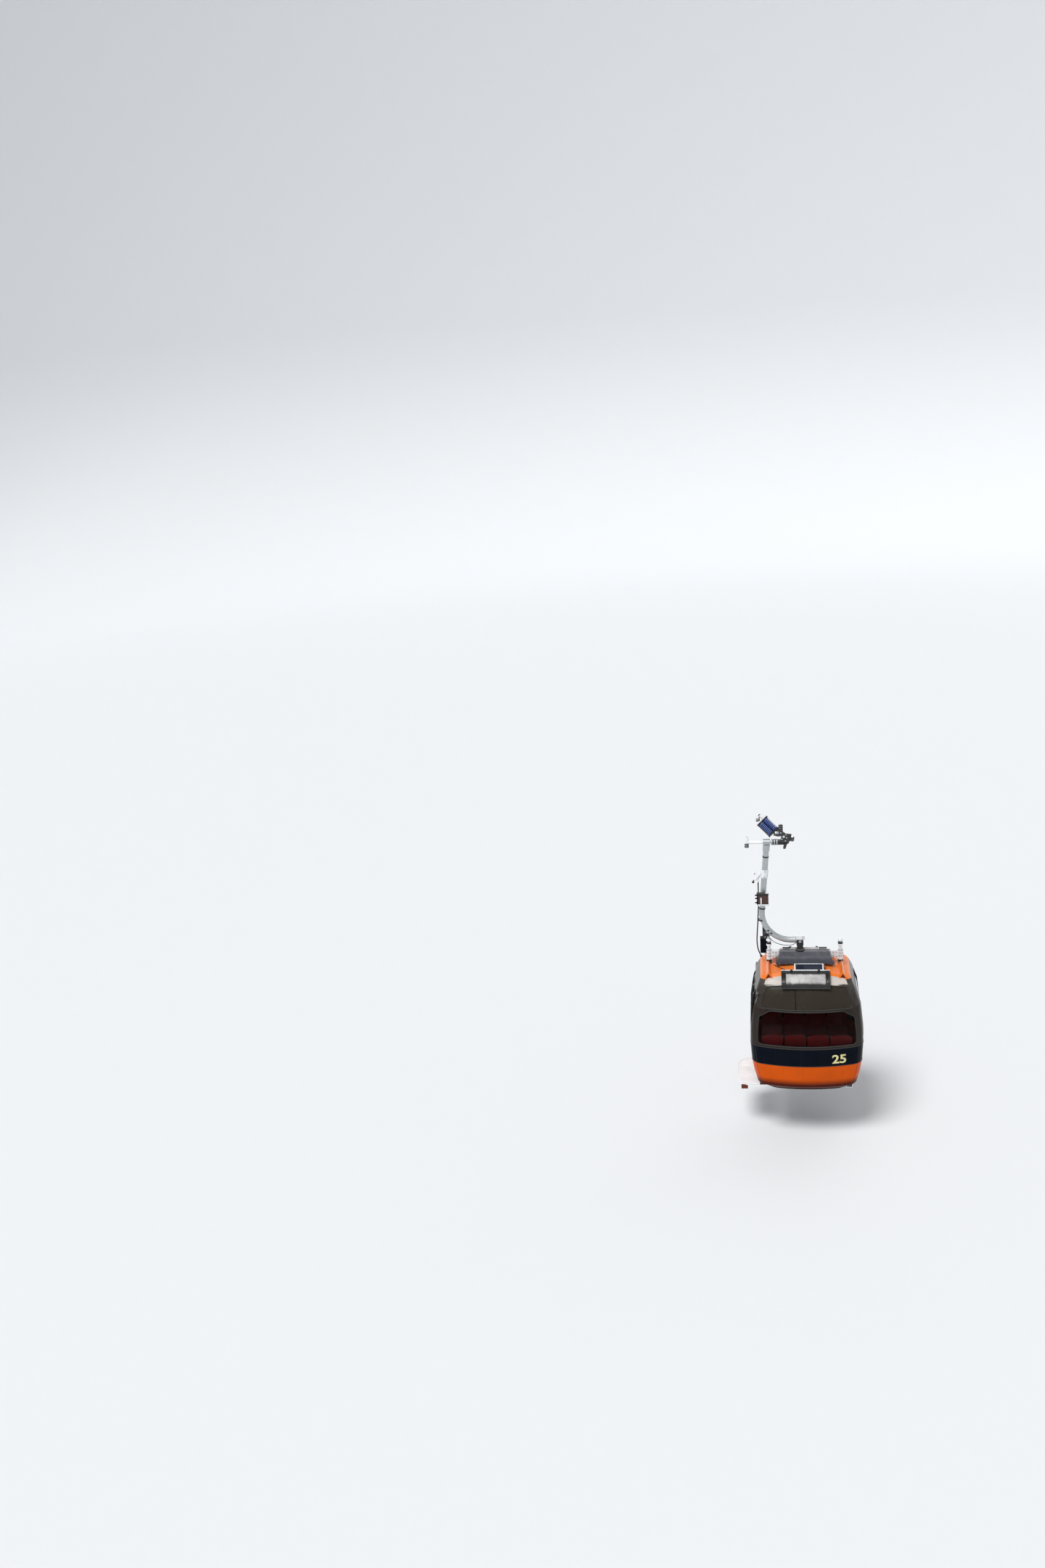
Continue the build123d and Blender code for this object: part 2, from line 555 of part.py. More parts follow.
# Inside: a bench of seats on a frame at each end

seats = []
for place in range(SEATS):
    x = (place - (SEATS - 1) / 2) * SEAT_PITCH
    seat = prism_x(SEAT_PROFILE, (x - SEAT_W / 2, x + SEAT_W / 2))
    seats.append(fillet(seat.edges().filter_by(Axis.X), SEAT_EASE))
cabin["seats"] = group(mirrored_y(*seats))
bench = box((-BENCH_HALF, BENCH_HALF), BENCH_Y, BENCH_Z)
for px in BENCH_LEGS:
    bench += box((px - BENCH_LEG_W / 2, px + BENCH_LEG_W / 2), BENCH_LEG_Y, (FLOOR_T, BENCH_Z[0]))
cabin["bench_frames"] = group(mirrored_y(bench))

# Footboard outside the doors, and the guide rail under the far side

board_low = BOARD_Z - BOARD_T
board = box(BOARD_X, BOARD_Y, (board_low, BOARD_Z))
outer_corners = board.edges().filter_by(Axis.Z).group_by(Axis.X)[0]
cabin["footboard"] = fillet(outer_corners, BOARD_R)
arms = [box(*APRON[:2], (board_low - APRON[2], board_low))]
for py in ARM_Y:
    width = (py - ARM_W / 2, py + ARM_W / 2)
    arms.append(box(ARM_X, width, (board_low - ARM_H, board_low)) + box((ARM_RISE_X, ARM_X[1]), width, (board_low, 0)))
cabin["board_arms"] = group(arms)
guide = [box(x, (-GUIDE_HALF_Y, GUIDE_HALF_Y), z) for x, z in GUIDE_PLATES]
cabin["guide_rail"] = (guide[0] + guide[1] + guide[2]) - OUTER

# Hanger, with its middle plane at Y = 0; it is moved onto the shaft below

path = FilletPolyline((TUBE_TOP[0], 0, TUBE_TOP[1]), (TUBE_KNEE[0], 0, TUBE_KNEE[1]),
                      (PIVOT_X - 60, 0, TUBE_KNEE[1]), radius=TUBE_BEND_R)
tube_start = Vector(TUBE_TOP[0], 0, TUBE_TOP[1])
tube_aim = (Vector(TUBE_KNEE[0], 0, TUBE_KNEE[1]) - tube_start).normalized()
tube = sweep(Plane(origin=tube_start, z_dir=tube_aim) * Circle(TUBE_R), path=path)
shaft_z = -SHAFT_DROP * cos(radians(ROPE_SLOPE))
boss = rod((HEAD_X[0], 0, shaft_z), (HEAD_X[1], 0, shaft_z), HEAD_R)
shaft_bore = rod((HEAD_X[0] - 10, 0, shaft_z), (HEAD_X[1] + 10, 0, shaft_z), SHAFT_R + SHAFT_CLEAR)
hang = {}
hang["hanger_tube"] = tube - boss
socket = rod(tuple(tube_start), tuple(tube_start + tube_aim * 110), TUBE_R + 10)
hang["hanger_head"] = socket + boss - shaft_bore - hang["hanger_tube"]
arm_z = TUBE_KNEE[1]
column_top = CABIN_Z + COLUMN_TOP
block = box((PIVOT_X + HEAD_BLOCK_X[0], PIVOT_X + HEAD_BLOCK_X[1]), (-HEAD_BLOCK_Y, HEAD_BLOCK_Y),
            (column_top, column_top + HEAD_BLOCK_H))
block = fillet(block.edges().filter_by(Axis.Z), HEAD_BLOCK_EASE)
hang["arm_head"] = block - hang["hanger_tube"]


def tube_at(z):
    """X of the hanger's upright at a height."""
    return TUBE_TOP[0] + (TUBE_KNEE[0] - TUBE_TOP[0]) * (z - TUBE_TOP[1]) / (TUBE_KNEE[1] - TUBE_TOP[1])


def tube_sleeve(high, low, radius):
    """A sleeve on the hanger's upright between two heights."""
    return rod((tube_at(high), 0, high), (tube_at(low), 0, low), radius)


latch = tube_sleeve(*LATCH_Z, TUBE_R + 12) - hang["hanger_tube"]
pin_z, pin_r, pin_reach = LATCH_PIN
latch += rod((tube_at(pin_z) - TUBE_R - 8, 0, pin_z), (tube_at(pin_z) - TUBE_R - pin_reach, 0, pin_z), pin_r)
(lever_out, lever_z), lever_end, lever_r, knob_r = LATCH_LEVER
knob = (lever_end[0], 0, lever_end[1])
latch += rod((tube_at(lever_z) + lever_out, 0, lever_z), knob, lever_r) + Pos(*knob) * Sphere(knob_r)
anchor_z, ferrule_l, anchor_r = CABLE_ANCHOR
latch += rod((CABLE_X, 0, anchor_z), (CABLE_X, 0, CABLE_TOP + ferrule_l), anchor_r)
latch += rod((CABLE_X, 0, CABLE_TOP + ferrule_l), (CABLE_X, 0, CABLE_TOP + SEAT_CLEAR), FERRULE_R)
hang["latch_lever"] = latch
saddle_x = tube_at((BOX[2][0] + BOX[2][1]) / 2)
hang["box_saddle"] = box((saddle_x - SADDLE_HALF, saddle_x + SADDLE_HALF), SADDLE_Y, SADDLE_Z) - hang["hanger_tube"]
hang["control_box"] = fillet(box(*BOX).edges().filter_by(Axis.Y), BOX_EASE)
clamp_aim = Vector(1, 0, -1).normalized()
clamp_mid = Vector(TUBE_KNEE[0] + STRAP_FROM_KNEE[0], 0, TUBE_KNEE[1] + STRAP_FROM_KNEE[1])
straps = []
for way in (-1, 1):
    low = clamp_mid + clamp_aim * (way * STRAP_SPREAD - STRAP_L / 2)
    straps.append(rod(tuple(low), tuple(low + clamp_aim * STRAP_L), TUBE_R + STRAP_OUT) - hang["hanger_tube"])
hang["tube_straps"] = straps[0] + straps[1] + box(*COUNTER_PLATE)
hang["counter_box"] = fillet(box(*COUNTER).edges().filter_by(Axis.Z), COUNTER_EASE)

# The door cable's tube: straight runs joined by arcs as large as the runs allow

route = [Vector(*point) for point in CABLE_ROUTE]
bends = []
for before, here, after in zip(route, route[1:], route[2:]):
    turn = radians((here - before).get_angle(after - here))
    shorter = min((here - before).length, (after - here).length)
    bends.append(0.45 * shorter / tan(turn / 2))
print("door cable's bend radii", [round(bend) for bend in bends])
cable_path = FilletPolyline(*CABLE_ROUTE, radius=bends)
hang["door_cable"] = sweep(Plane(origin=route[0], z_dir=route[1] - route[0]) * Circle(CABLE_R), path=cable_path)
print("door cable's length", round(cable_path.length), "fill", round(hang["door_cable"].volume
      / (pi * CABLE_R ** 2 * cable_path.length), 4))
cable_end, cable_aim = route[-1], (route[-1] - route[-2]).normalized()
sleeves = [rod(tuple(cable_end + cable_aim * a), tuple(cable_end + cable_aim * b), r) for a, b, r in GLAND]
hang["cable_gland"] = (sleeves[0] + sleeves[1]) - Pos(CABIN_X, 0, CABIN_Z) * ROOF_SKIN

# Grip, before it is pitched with the rope

grip, jaw = {}, {}
half = JAW_LENGTH / 2
rope = rod((0, -half - 5, 0), (0, half + 5, 0), ROPE_R)
jaw_form = rod((0, -half, 0), (0, half, 0), JAW_R)
SEAM = 4.0                 # half the gap between the two jaws


def pin_barrel(radius, y):
    """A barrel on the jaw pin's axis between two distances along the rope."""
    return rod((PIN[0], y[0], PIN[1]), (PIN[0], y[1], PIN[1]), radius)


lower = jaw_form & box((-BIG, 34), (-BIG, BIG), (-BIG, -SEAM))
claw = prism_y([(0, -30), (-40, -60), (-95, -120), (-120, -195), (-150, -205), (-165, -190), (-150, -120),
                (-200, -118), (-200, -40), (-60, -20)], (-LEVER_Y, LEVER_Y))
hub = rod((HUB_X[0], 0, -SHAFT_DROP), (HUB_X[1], 0, -SHAFT_DROP), HUB_R)
body = lower + claw + hub
for way in (-1, 1):
    y = sorted((CHEEK_Y[0] * way, CHEEK_Y[1] * way))
    body += prism_y([(-20, -30), (-110, 18), (-190, 22), (-215, -70), (-150, -110), (-60, -70)], y)
    body += pin_barrel(KNUCKLE_R, y)
body += box((-200, -60), (-CHEEK_Y[1], CHEEK_Y[1]), (-100, -50))
body -= pin_barrel(KNUCKLE_R + 6, (-LEVER_Y - 6, LEVER_Y + 6))
body -= pin_barrel(PIN_R, (-BIG, BIG))
grip["grip_body"] = body - rope
grip["jaw_pin"] = pin_barrel(PIN_R, (-CHEEK_Y[1] - 10, CHEEK_Y[1] + 10))
grip["carrying_shaft"] = rod((GUIDE_X + 30, 0, -SHAFT_DROP), (HUB_X[0], 0, -SHAFT_DROP), SHAFT_R)
bush = rod((GUIDE_X, 0, -SHAFT_DROP - 26), (GUIDE_X, 0, -SHAFT_DROP + 88), 33)
bush += rod((GUIDE_X, 0, -SHAFT_DROP - 97), (GUIDE_X, 0, -SHAFT_DROP), 12)
bush += rod((GUIDE_X, 0, -SHAFT_DROP - 103), (GUIDE_X, 0, -SHAFT_DROP - 97), 20)
grip["guide_bush"] = bush - grip["carrying_shaft"]
guide_z = (-SHAFT_DROP - 34 - GUIDE_H, -SHAFT_DROP - 34)
grip["guide_roller"] = ring((GUIDE_X, 0, guide_z[0]), (GUIDE_X, 0, guide_z[1]), GUIDE_R, 12 + SHAFT_CLEAR)

tilt = radians(PACK_TILT)
PACK_AXIS = Vector(-cos(tilt), 0, sin(tilt))
PACK_SIDE = Vector(sin(tilt), 0, cos(tilt))


def pack_point(along, aside, y=0.0):
    """A point of the spring pack, from its foot."""
    return Vector(PACK_FOOT[0], y, PACK_FOOT[1]) + PACK_AXIS * along + PACK_SIDE * aside


def pack_slab(along, aside, y):
    """A block in the spring pack's own directions, from three (low, high) pairs."""
    corner = pack_point((along[0] + along[1]) / 2, (aside[0] + aside[1]) / 2, (y[0] + y[1]) / 2)
    place = Plane(origin=corner, x_dir=PACK_SIDE, z_dir=PACK_AXIS)
    return place * Box(aside[1] - aside[0], y[1] - y[0], along[1] - along[0])


def pack_rod(along, aside, radius):
    """A round bar along the spring pack."""
    return rod(tuple(pack_point(along[0], aside)), tuple(pack_point(along[1], aside)), radius)


upper = jaw_form & box((-BIG, 42), (-BIG, BIG), (SEAM, BIG))
lever = prism_y([(-20, 20), (-10, 54), (-110, 66), (-190, 120), (-235, 166), (-322, 108), (-330, 46),
                 (-260, 26), (-190, 30), (-150, 12), (-90, 12), (-60, 10)], (-LEVER_Y, LEVER_Y))
lever += pin_barrel(KNUCKLE_R, (-LEVER_Y, LEVER_Y))
lever += pack_slab((-PACK_PLATE, 0), (-105, 105), (-58, 58)) + pack_slab((-PACK_PLATE, 0), (-123, 123), (-20, 20))
lever += box((UP_ROLLER[0] - 22, UP_ROLLER[0] + 22), (0, UP_ROLLER[1] + 22), (76, 100))
lever += rod((*UP_ROLLER, 90), (*UP_ROLLER, 256), 10)
lever -= pin_barrel(PIN_R + SHAFT_CLEAR, (-BIG, BIG))
jaw["jaw_lever"] = lever - rope
jaw["upright_roller"] = ring((*UP_ROLLER, UP_ROLLER_Z[0]), (*UP_ROLLER, UP_ROLLER_Z[1]), UP_ROLLER_R, 10 + SHAFT_CLEAR)


def coil_spring(aside):
    """One coil spring of the pack, as turns of wire round a guide tube."""
    tube_r, low, high = COIL_R - COIL_WIRE_R / 2, SEAT_CLEAR, PACK_LENGTH - SEAT_CLEAR
    profile = make_face(Polyline((0, 0, low), (tube_r, 0, low), (tube_r, 0, high), (0, 0, high), close=True))
    for turn in range(COIL_TURNS):
        along = (turn + 0.5) * PACK_LENGTH / COIL_TURNS
        profile += Pos(COIL_R, 0, along) * Rot(90, 0, 0) * Circle(COIL_WIRE_R)
    spring = revolve(profile, axis=Axis.Z)
    return Plane(origin=pack_point(0, aside), x_dir=PACK_SIDE, z_dir=PACK_AXIS) * spring


jaw["grip_springs"] = group([coil_spring(-COIL_OFFSET), coil_spring(COIL_OFFSET)])
plate = pack_slab((PACK_LENGTH, PACK_LENGTH + PACK_PLATE), (-105, 105), (-58, 58))
plate += pack_slab((PACK_LENGTH, PACK_LENGTH + PACK_PLATE), (-123, 123), (-20, 20))
plate += pack_rod((PACK_LENGTH, 402), 38, 22)
lug_x = END_ROLLER[0] + 26
plate += box((lug_x, lug_x + 16), (-20, 20), (END_ROLLER[1] - 18, END_ROLLER[1] + 56))
plate += rod((END_ROLLER[0] - 26, 0, END_ROLLER[1]), (lug_x + 8, 0, END_ROLLER[1]), 9)
for aside in (-TIE_OFFSET, TIE_OFFSET):
    plate += pack_rod((0, PACK_LENGTH + PACK_PLATE + 14), aside, TIE_R)
jaw["pack_frame"] = plate
jaw["end_roller"] = ring((END_ROLLER[0] - 22, 0, END_ROLLER[1]), (END_ROLLER[0] + 22, 0, END_ROLLER[1]),
                         END_ROLLER_R, 9 + SHAFT_CLEAR)

CARRIAGE_Y = -SHAFT_DROP * sin(radians(ROPE_SLOPE))
CABIN = Pos(CABIN_X, CARRIAGE_Y, CABIN_Z)
HANG = Pos(0, CARRIAGE_Y, 0)
GRIP = Rot(-ROPE_SLOPE, 0, 0)
parts = {name: CABIN * shape for name, shape in cabin.items()}
for way, pieces in doors.items():
    parts.update({f"{way}_door_{kind}": CABIN * shape for kind, shape in pieces.items()})
parts.update({name: HANG * shape for name, shape in hang.items()})
parts.update({name: GRIP * shape for name, shape in {**grip, **jaw}.items()})

for node, shape in parts.items():
    export_step(shape, f"parts/{node}.step")
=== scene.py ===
import json
import math

import bmesh
import bpy
from bpy.props import FloatProperty, FloatVectorProperty, IntProperty, PointerProperty, StringProperty
from mathutils import Matrix, Vector


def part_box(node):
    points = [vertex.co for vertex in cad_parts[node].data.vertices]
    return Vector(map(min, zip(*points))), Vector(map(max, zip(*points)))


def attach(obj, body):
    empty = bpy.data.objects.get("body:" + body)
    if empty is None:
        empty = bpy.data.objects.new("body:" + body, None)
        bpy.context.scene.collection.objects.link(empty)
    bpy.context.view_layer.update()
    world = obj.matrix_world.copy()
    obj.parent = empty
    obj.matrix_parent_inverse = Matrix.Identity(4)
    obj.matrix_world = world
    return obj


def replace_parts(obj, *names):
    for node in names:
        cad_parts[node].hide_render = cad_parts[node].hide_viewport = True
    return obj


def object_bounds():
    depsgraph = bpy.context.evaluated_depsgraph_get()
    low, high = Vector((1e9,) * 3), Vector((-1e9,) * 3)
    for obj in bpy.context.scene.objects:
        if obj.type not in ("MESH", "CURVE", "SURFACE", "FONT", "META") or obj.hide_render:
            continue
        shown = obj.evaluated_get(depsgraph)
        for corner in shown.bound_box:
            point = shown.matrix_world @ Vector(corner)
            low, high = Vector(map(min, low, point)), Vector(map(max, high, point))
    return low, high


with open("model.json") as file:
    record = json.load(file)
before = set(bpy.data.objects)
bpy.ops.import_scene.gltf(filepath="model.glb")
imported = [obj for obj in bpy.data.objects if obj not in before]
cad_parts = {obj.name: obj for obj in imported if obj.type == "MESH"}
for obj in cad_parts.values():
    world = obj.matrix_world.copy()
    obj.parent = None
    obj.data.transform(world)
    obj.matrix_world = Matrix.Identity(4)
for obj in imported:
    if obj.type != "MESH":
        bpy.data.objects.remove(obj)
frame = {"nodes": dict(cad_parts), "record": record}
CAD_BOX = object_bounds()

bl_info = {
    "name": "Cable Car Cabin",
    "version": (1, 0, 0),
    "blender": (4, 5, 0),
    "location": "3D View > Sidebar > Cabin",
    "description": "Dresses a cable car cabin, its hanger and its grip with finishes, seals and fittings",
    "category": "Object",
}

# The cabin's own frame: x from its middle plane, y from its middle, z from its keel, in metres
FLOOR_LOW, FLOOR_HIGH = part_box("floor_pan")
CABIN = Vector(((FLOOR_LOW[0] + FLOOR_HIGH[0]) / 2, (FLOOR_LOW[1] + FLOOR_HIGH[1]) / 2, FLOOR_LOW[2]))
END_R = 2.600
SECTIONS = [
    # z, half width, half length, corner radius
    (0.000, 0.740, 0.800, 0.280),
    (0.150, 0.890, 1.010, 0.262),
    (0.370, 0.944, 1.052, 0.256),
    (0.590, 0.982, 1.080, 0.260),
    (0.930, 1.005, 1.090, 0.270),
    (1.200, 1.001, 1.072, 0.270),
    (1.620, 0.960, 0.980, 0.260),
    (1.870, 0.882, 0.850, 0.230),
    (1.975, 0.838, 0.768, 0.210),
    (2.060, 0.800, 0.680, 0.190),
    (2.220, 0.640, 0.470, 0.150),
]
BELT_LOW, BELT_HIGH, MID_RAIL, CANT = 0.590, 0.930, 1.620, 1.975
FRONT, BACK = -1, 1
LEFT, RIGHT = -1, 1

# Windows, doors and panels
WINDOW_LOW = BELT_HIGH + 0.046
END_WINDOW_IN, MID_RAIL_HALF = 0.132, 0.017
LOWER_SLOPE = (0.200, 0.120)
UPPER_CROWN, UPPER_HIGH = 2.052, CANT - 0.005
LOWER_CORNER, UPPER_CORNER, FAR_CORNER, DOOR_PANE_CORNER, LEAF_CORNER = 0.070, 0.050, 0.070, 0.045, 0.045
PANE_SEAM_X, PANE_SEAM_R, PANE_SEAM_IN = -0.190, 0.0060, 0.009
PANE_SEAM_Z = (1.640, 1.750, 1.870, 1.972)
END_PANEL_IN, END_PANEL_LOW = 0.090, 0.072
DOORWAY_HALF = 0.342
DOOR_PANE_NEAR = DOORWAY_HALF + 0.060
DOOR_PANE_FAR = ((0.640, WINDOW_LOW), (0.570, MID_RAIL), (0.500, 1.800))
RECESS_REACH, RECESS_DEPTH = 0.737, 0.050
LEAF_FACE, LEAF_GAP, LEAF_W = 0.007, 0.004, 0.372
LEAF_STILE = 0.044
LEAF_Z = (0.102, 1.805)
LEAF_LIGHT = (WINDOW_LOW + 0.008, LEAF_Z[1] - 0.060)

# The grip's own frame: the jaws' axis along y, before the whole grip is pitched
PITCH = Matrix.Rotation(math.radians(-30), 4, "X")
PACK_FOOT = Vector((-0.330, 0, 0.110))
PACK_TILT = math.radians(46)
PACK_AXIS = Vector((-math.cos(PACK_TILT), 0, math.sin(PACK_TILT)))
PACK_SIDE = Vector((math.sin(PACK_TILT), 0, math.cos(PACK_TILT)))
PACK_LENGTH, PACK_PLATE = 0.265, 0.018
PACK_TOP = PACK_LENGTH + PACK_PLATE
COIL_R, COIL_WIRE_R, COIL_OFFSET = 0.042, 0.0095, 0.053
TIE_OFFSET = 0.113
BODY_TUBE_R = 0.050

# The hanger, with its middle plane at HANG_Y
HANG_Y = CABIN.y
TUBE_TOP, TUBE_KNEE = Vector((-0.458, HANG_Y, -0.110)), Vector((-0.606, HANG_Y, -1.950))
STRAP_MID = Vector((-0.451, HANG_Y, -1.800))
STRAP_AIM = Vector((1, 0, -1)).normalized()
STRAP_UP = Vector((1, 0, 1)).normalized()
COLUMN_X = 0.110

# The roof and the footboard, in the cabin's own frame
HOOD_LIP = (0.792, 1.985)
HOOD_BACK = (0.511, 2.211)
COLLAR_Z = 2.425
POST_X = 0.640
BELLOWS_Z = (2.126, 2.189)
BOARD_X, BOARD_Y, BOARD_R = (-1.250, -0.850), (-0.575, 0.475), 0.270
NUMBER_AT = (0.565, 0.716)

# The cords' control points
CABLE_ROUTE = [
    (-0.620, -0.040, -0.830),
    (-0.619, -0.034, -1.080),
    (-0.624, 0.010, -1.350),
    (-0.638, 0.085, -1.620),
    (-0.655, 0.175, -1.870),
    (-0.667, 0.265, -2.080),
    (-0.658, 0.355, -2.255),
    (-0.633, 0.420, -2.380),
    (-0.600, 0.467, -2.470),
]

ARM_WIRE_ROUTE = [
    (-0.455, -0.075, -1.870),
    (-0.400, -0.085, -1.945),
    (-0.300, -0.090, -2.005),
    (-0.170, -0.088, -2.040),
    (-0.040, -0.078, -2.045),
    (0.040, -0.060, -2.005),
    (0.080, -0.050, -1.975),
]


# What a user would change

class CabinColours(bpy.types.PropertyGroup):
    """Colours of the cabin's finishes"""
    orange: FloatVectorProperty(name="Shell", description="Gloss moulding of the skirts and the doors",
                                default=(0.70, 0.095, 0.002), subtype="COLOR", min=0, max=1)
    # The roof's orange is a lighter, yellower copy of the shell's orange: painted light for the sun on the
    # roof.
    roof: FloatVectorProperty(name="Roof", description="Sunned gloss moulding of the roof",
                              default=(0.88, 0.190, 0.004), subtype="COLOR", min=0, max=1)
    belt: FloatVectorProperty(name="Belt", description="Gloss band round the waist",
                              default=(0.002, 0.004, 0.009), subtype="COLOR", min=0, max=1)
    surround: FloatVectorProperty(name="Window surround", description="Dark moulding round the panes",
                                  default=(0.022, 0.015, 0.011), subtype="COLOR", min=0, max=1)
    white: FloatVectorProperty(name="White coat", description="Posts, brackets and sleeves",
                               default=(0.88, 0.89, 0.90), subtype="COLOR", min=0, max=1)
    seats: FloatVectorProperty(name="Seats", description="Moulded seat shells",
                               default=(0.50, 0.018, 0.020), subtype="COLOR", min=0, max=1)
    springs: FloatVectorProperty(name="Springs", description="Coated spring wire of the grip",
                                 default=(0.085, 0.140, 0.400), subtype="COLOR", min=0, max=1)
    number: FloatVectorProperty(name="Number", description="Plain number on the belt",
                                default=(0.78, 0.70, 0.33), subtype="COLOR", min=0, max=1)


class CabinSizes(bpy.types.PropertyGroup):
    """Sizes of the small pieces"""
    seal: FloatProperty(name="Seal", description="Radius of the rubber bead round a pane",
                        default=0.0085, subtype="DISTANCE", min=0.003, max=0.02)
    bead: FloatProperty(name="Panel bead", description="Radius of the bead between two panels",
                        default=0.0055, subtype="DISTANCE", min=0.002, max=0.01)
    bolt: FloatProperty(name="Bolt", description="Across-corners radius of a medium bolt head",
                        default=0.0120, subtype="DISTANCE", min=0.004, max=0.03)
    coil_turns: IntProperty(name="Coil turns", description="Turns of wire in one grip spring",
                            default=7, min=3, max=12)
    number: StringProperty(name="Number", description="Plain number on the belt", default="25")


class CabinStage(bpy.types.PropertyGroup):
    """Camera and light"""
    yaw: FloatProperty(name="Yaw", description="Camera's heading from +Y towards +X",
                       default=math.radians(-9.07), subtype="ANGLE")
    pitch: FloatProperty(name="Pitch", description="How far the camera looks down",
                         default=math.radians(16.64), subtype="ANGLE")
    roll: FloatProperty(name="Roll", description="Camera's tilt about its own axis",
                        default=math.radians(-3.74), subtype="ANGLE")
    place: FloatVectorProperty(name="Place", description="Where the camera stands",
                               default=(-0.436, -27.366, 9.378), subtype="XYZ", unit="LENGTH")
    lens: FloatProperty(name="Lens", description="Focal length for a 36 mm long side",
                        default=36.65, min=10, max=200)
    sky: FloatProperty(name="Sky light", description="Strength of the even light all round",
                       default=0.42, min=0)
    key: FloatProperty(name="Key light", description="Strength of the soft light from above",
                       default=2.2, min=0)


# Shape helpers

SUNK = 0.001    # how far a bead, bolt or ring goes into what carries it


def at(x, y, z):
    """A point of the cabin's own frame in the part's frame."""
    return CABIN + Vector((x, y, z))


def level(z):
    """Half width, half length and corner radius of the cabin's skin at a height."""
    for low, high in zip(SECTIONS, SECTIONS[1:]):
        if low[0] <= z <= high[0]:
            share = (z - low[0]) / (high[0] - low[0])
            return [a + (b - a) * share for a, b in zip(low[1:], high[1:])]
    return list(SECTIONS[-1][1:])


def corner_of(z, out):
    """Where a level's straight side and corner arc end, pushed out from the skin."""
    half_w, half_l, corner = (value + out for value in level(z))
    end_r = END_R + out
    straight = half_l - end_r + math.sqrt((end_r - corner) ** 2 - (half_w - corner) ** 2)
    turn = math.atan2(straight - (half_l - end_r), half_w - corner)
    return half_w, half_l, corner, end_r, straight, turn


def end_point(x, z, out=0.0, way=FRONT):
    """A point of the front or back skin, straight ahead of x at height z."""
    half_w, half_l, corner, end_r, straight, turn = corner_of(z, out)
    tip = half_w - corner + corner * math.cos(turn)
    if abs(x) <= tip:
        y = half_l - end_r + math.sqrt(end_r ** 2 - x ** 2)
    else:
        y = straight + math.sqrt(max(0.0, corner ** 2 - (abs(x) - half_w + corner) ** 2))
    return at(x, y * way, z)


def side_point(y, z, out=0.0, side=LEFT):
    """A point of the straight side skin at height z."""
    return at((level(z)[0] + out) * side, y, z)


def level_loop(z, out, corner_steps=7, bow_steps=10):
    """The whole skin outline at one height, anticlockwise from the front right corner."""
    half_w, half_l, corner, end_r, straight, turn = corner_of(z, out)
    angles = [turn * k / corner_steps for k in range(corner_steps + 1)]
    quarter = [(half_w - corner + corner * math.cos(a), straight + corner * math.sin(a)) for a in angles]
    bow = math.asin(quarter[-1][0] / end_r)
    angles = [bow - bow * k / bow_steps for k in range(1, bow_steps + 1)]
    front = [(end_r * math.sin(a), half_l - end_r + end_r * math.cos(a)) for a in angles]
    right = quarter + front
    left = [(-x, y) for x, y in reversed(right[:-1])]
    back = [(-x, -y) for x, y in right + left]
    return [at(x, y, z) for x, y in right + left + back]


def rounded(points, radius, steps=5):
    """A closed outline with every corner turned by an arc."""
    outline = []
    for before, here, after in zip(points[-1:] + points[:-1], points, points[1:] + points[:1]):
        here = Vector(here)
        back, ahead = (Vector(before) - here).normalized(), (Vector(after) - here).normalized()
        half = back.angle(ahead) / 2
        reach = radius / math.tan(half)
        centre = here + (back + ahead).normalized() * radius / math.sin(half)
        start = here + back * reach - centre
        swing = math.atan2(back.x * ahead.y - back.y * ahead.x, back.dot(ahead))
        turn = -math.copysign(math.pi - abs(swing), swing)
        for k in range(steps + 1):
            outline.append(centre + Matrix.Rotation(turn * k / steps, 2) @ start)
    return outline


def spread(points, gap):
    """The same closed outline with its long sides divided into shorter ones."""
    outline = []
    for here, after in zip(points, points[1:] + points[:1]):
        parts = max(1, round((after - here).length / gap))
        outline += [here.lerp(after, k / parts) for k in range(parts)]
    return outline


def finish_mesh(bm, name, finish, body="carriage", smooth=35.0):
    """Turns a bmesh into a piece that rides on a body, with its faces outwards."""
    bmesh.ops.recalc_face_normals(bm, faces=bm.faces)
    mesh = bpy.data.meshes.new(name)
    bm.to_mesh(mesh)
    bm.free()
    mesh.shade_smooth()
    mesh.set_sharp_from_angle(angle=math.radians(smooth))
    mesh.materials.append(FINISHES[finish])
    piece = add_object(name, mesh)
    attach(piece, body)
    return piece


def add_object(name, data):
    """A new object in the scene."""
    made = bpy.data.objects.new(name, data)
    bpy.context.scene.collection.objects.link(made)
    return made


def add_line(bm, points, closed=False):
    """Vertices at some points, and the edges between them."""
    verts = [bm.verts.new(point) for point in points]
    following = verts[1:] + verts[:1] if closed else verts[1:]
    return verts, [bm.edges.new(pair) for pair in zip(verts, following)]


def moved_verts(made):
    """The vertices among what an extrusion made."""
    return [item for item in made if isinstance(item, bmesh.types.BMVert)]


def add_rod(bm, start, end, radius, sides=20, end_radius=None):
    """A closed round bar between two points, tapered where end_radius is given."""
    start, end = Vector(start), Vector(end)
    aim = end - start
    place = Matrix.Translation((start + end) / 2) @ aim.to_track_quat("Z", "Y").to_matrix().to_4x4()
    bmesh.ops.create_cone(bm, cap_ends=True, segments=sides, radius1=radius,
                          radius2=radius if end_radius is None else end_radius,
                          depth=aim.length, matrix=place)


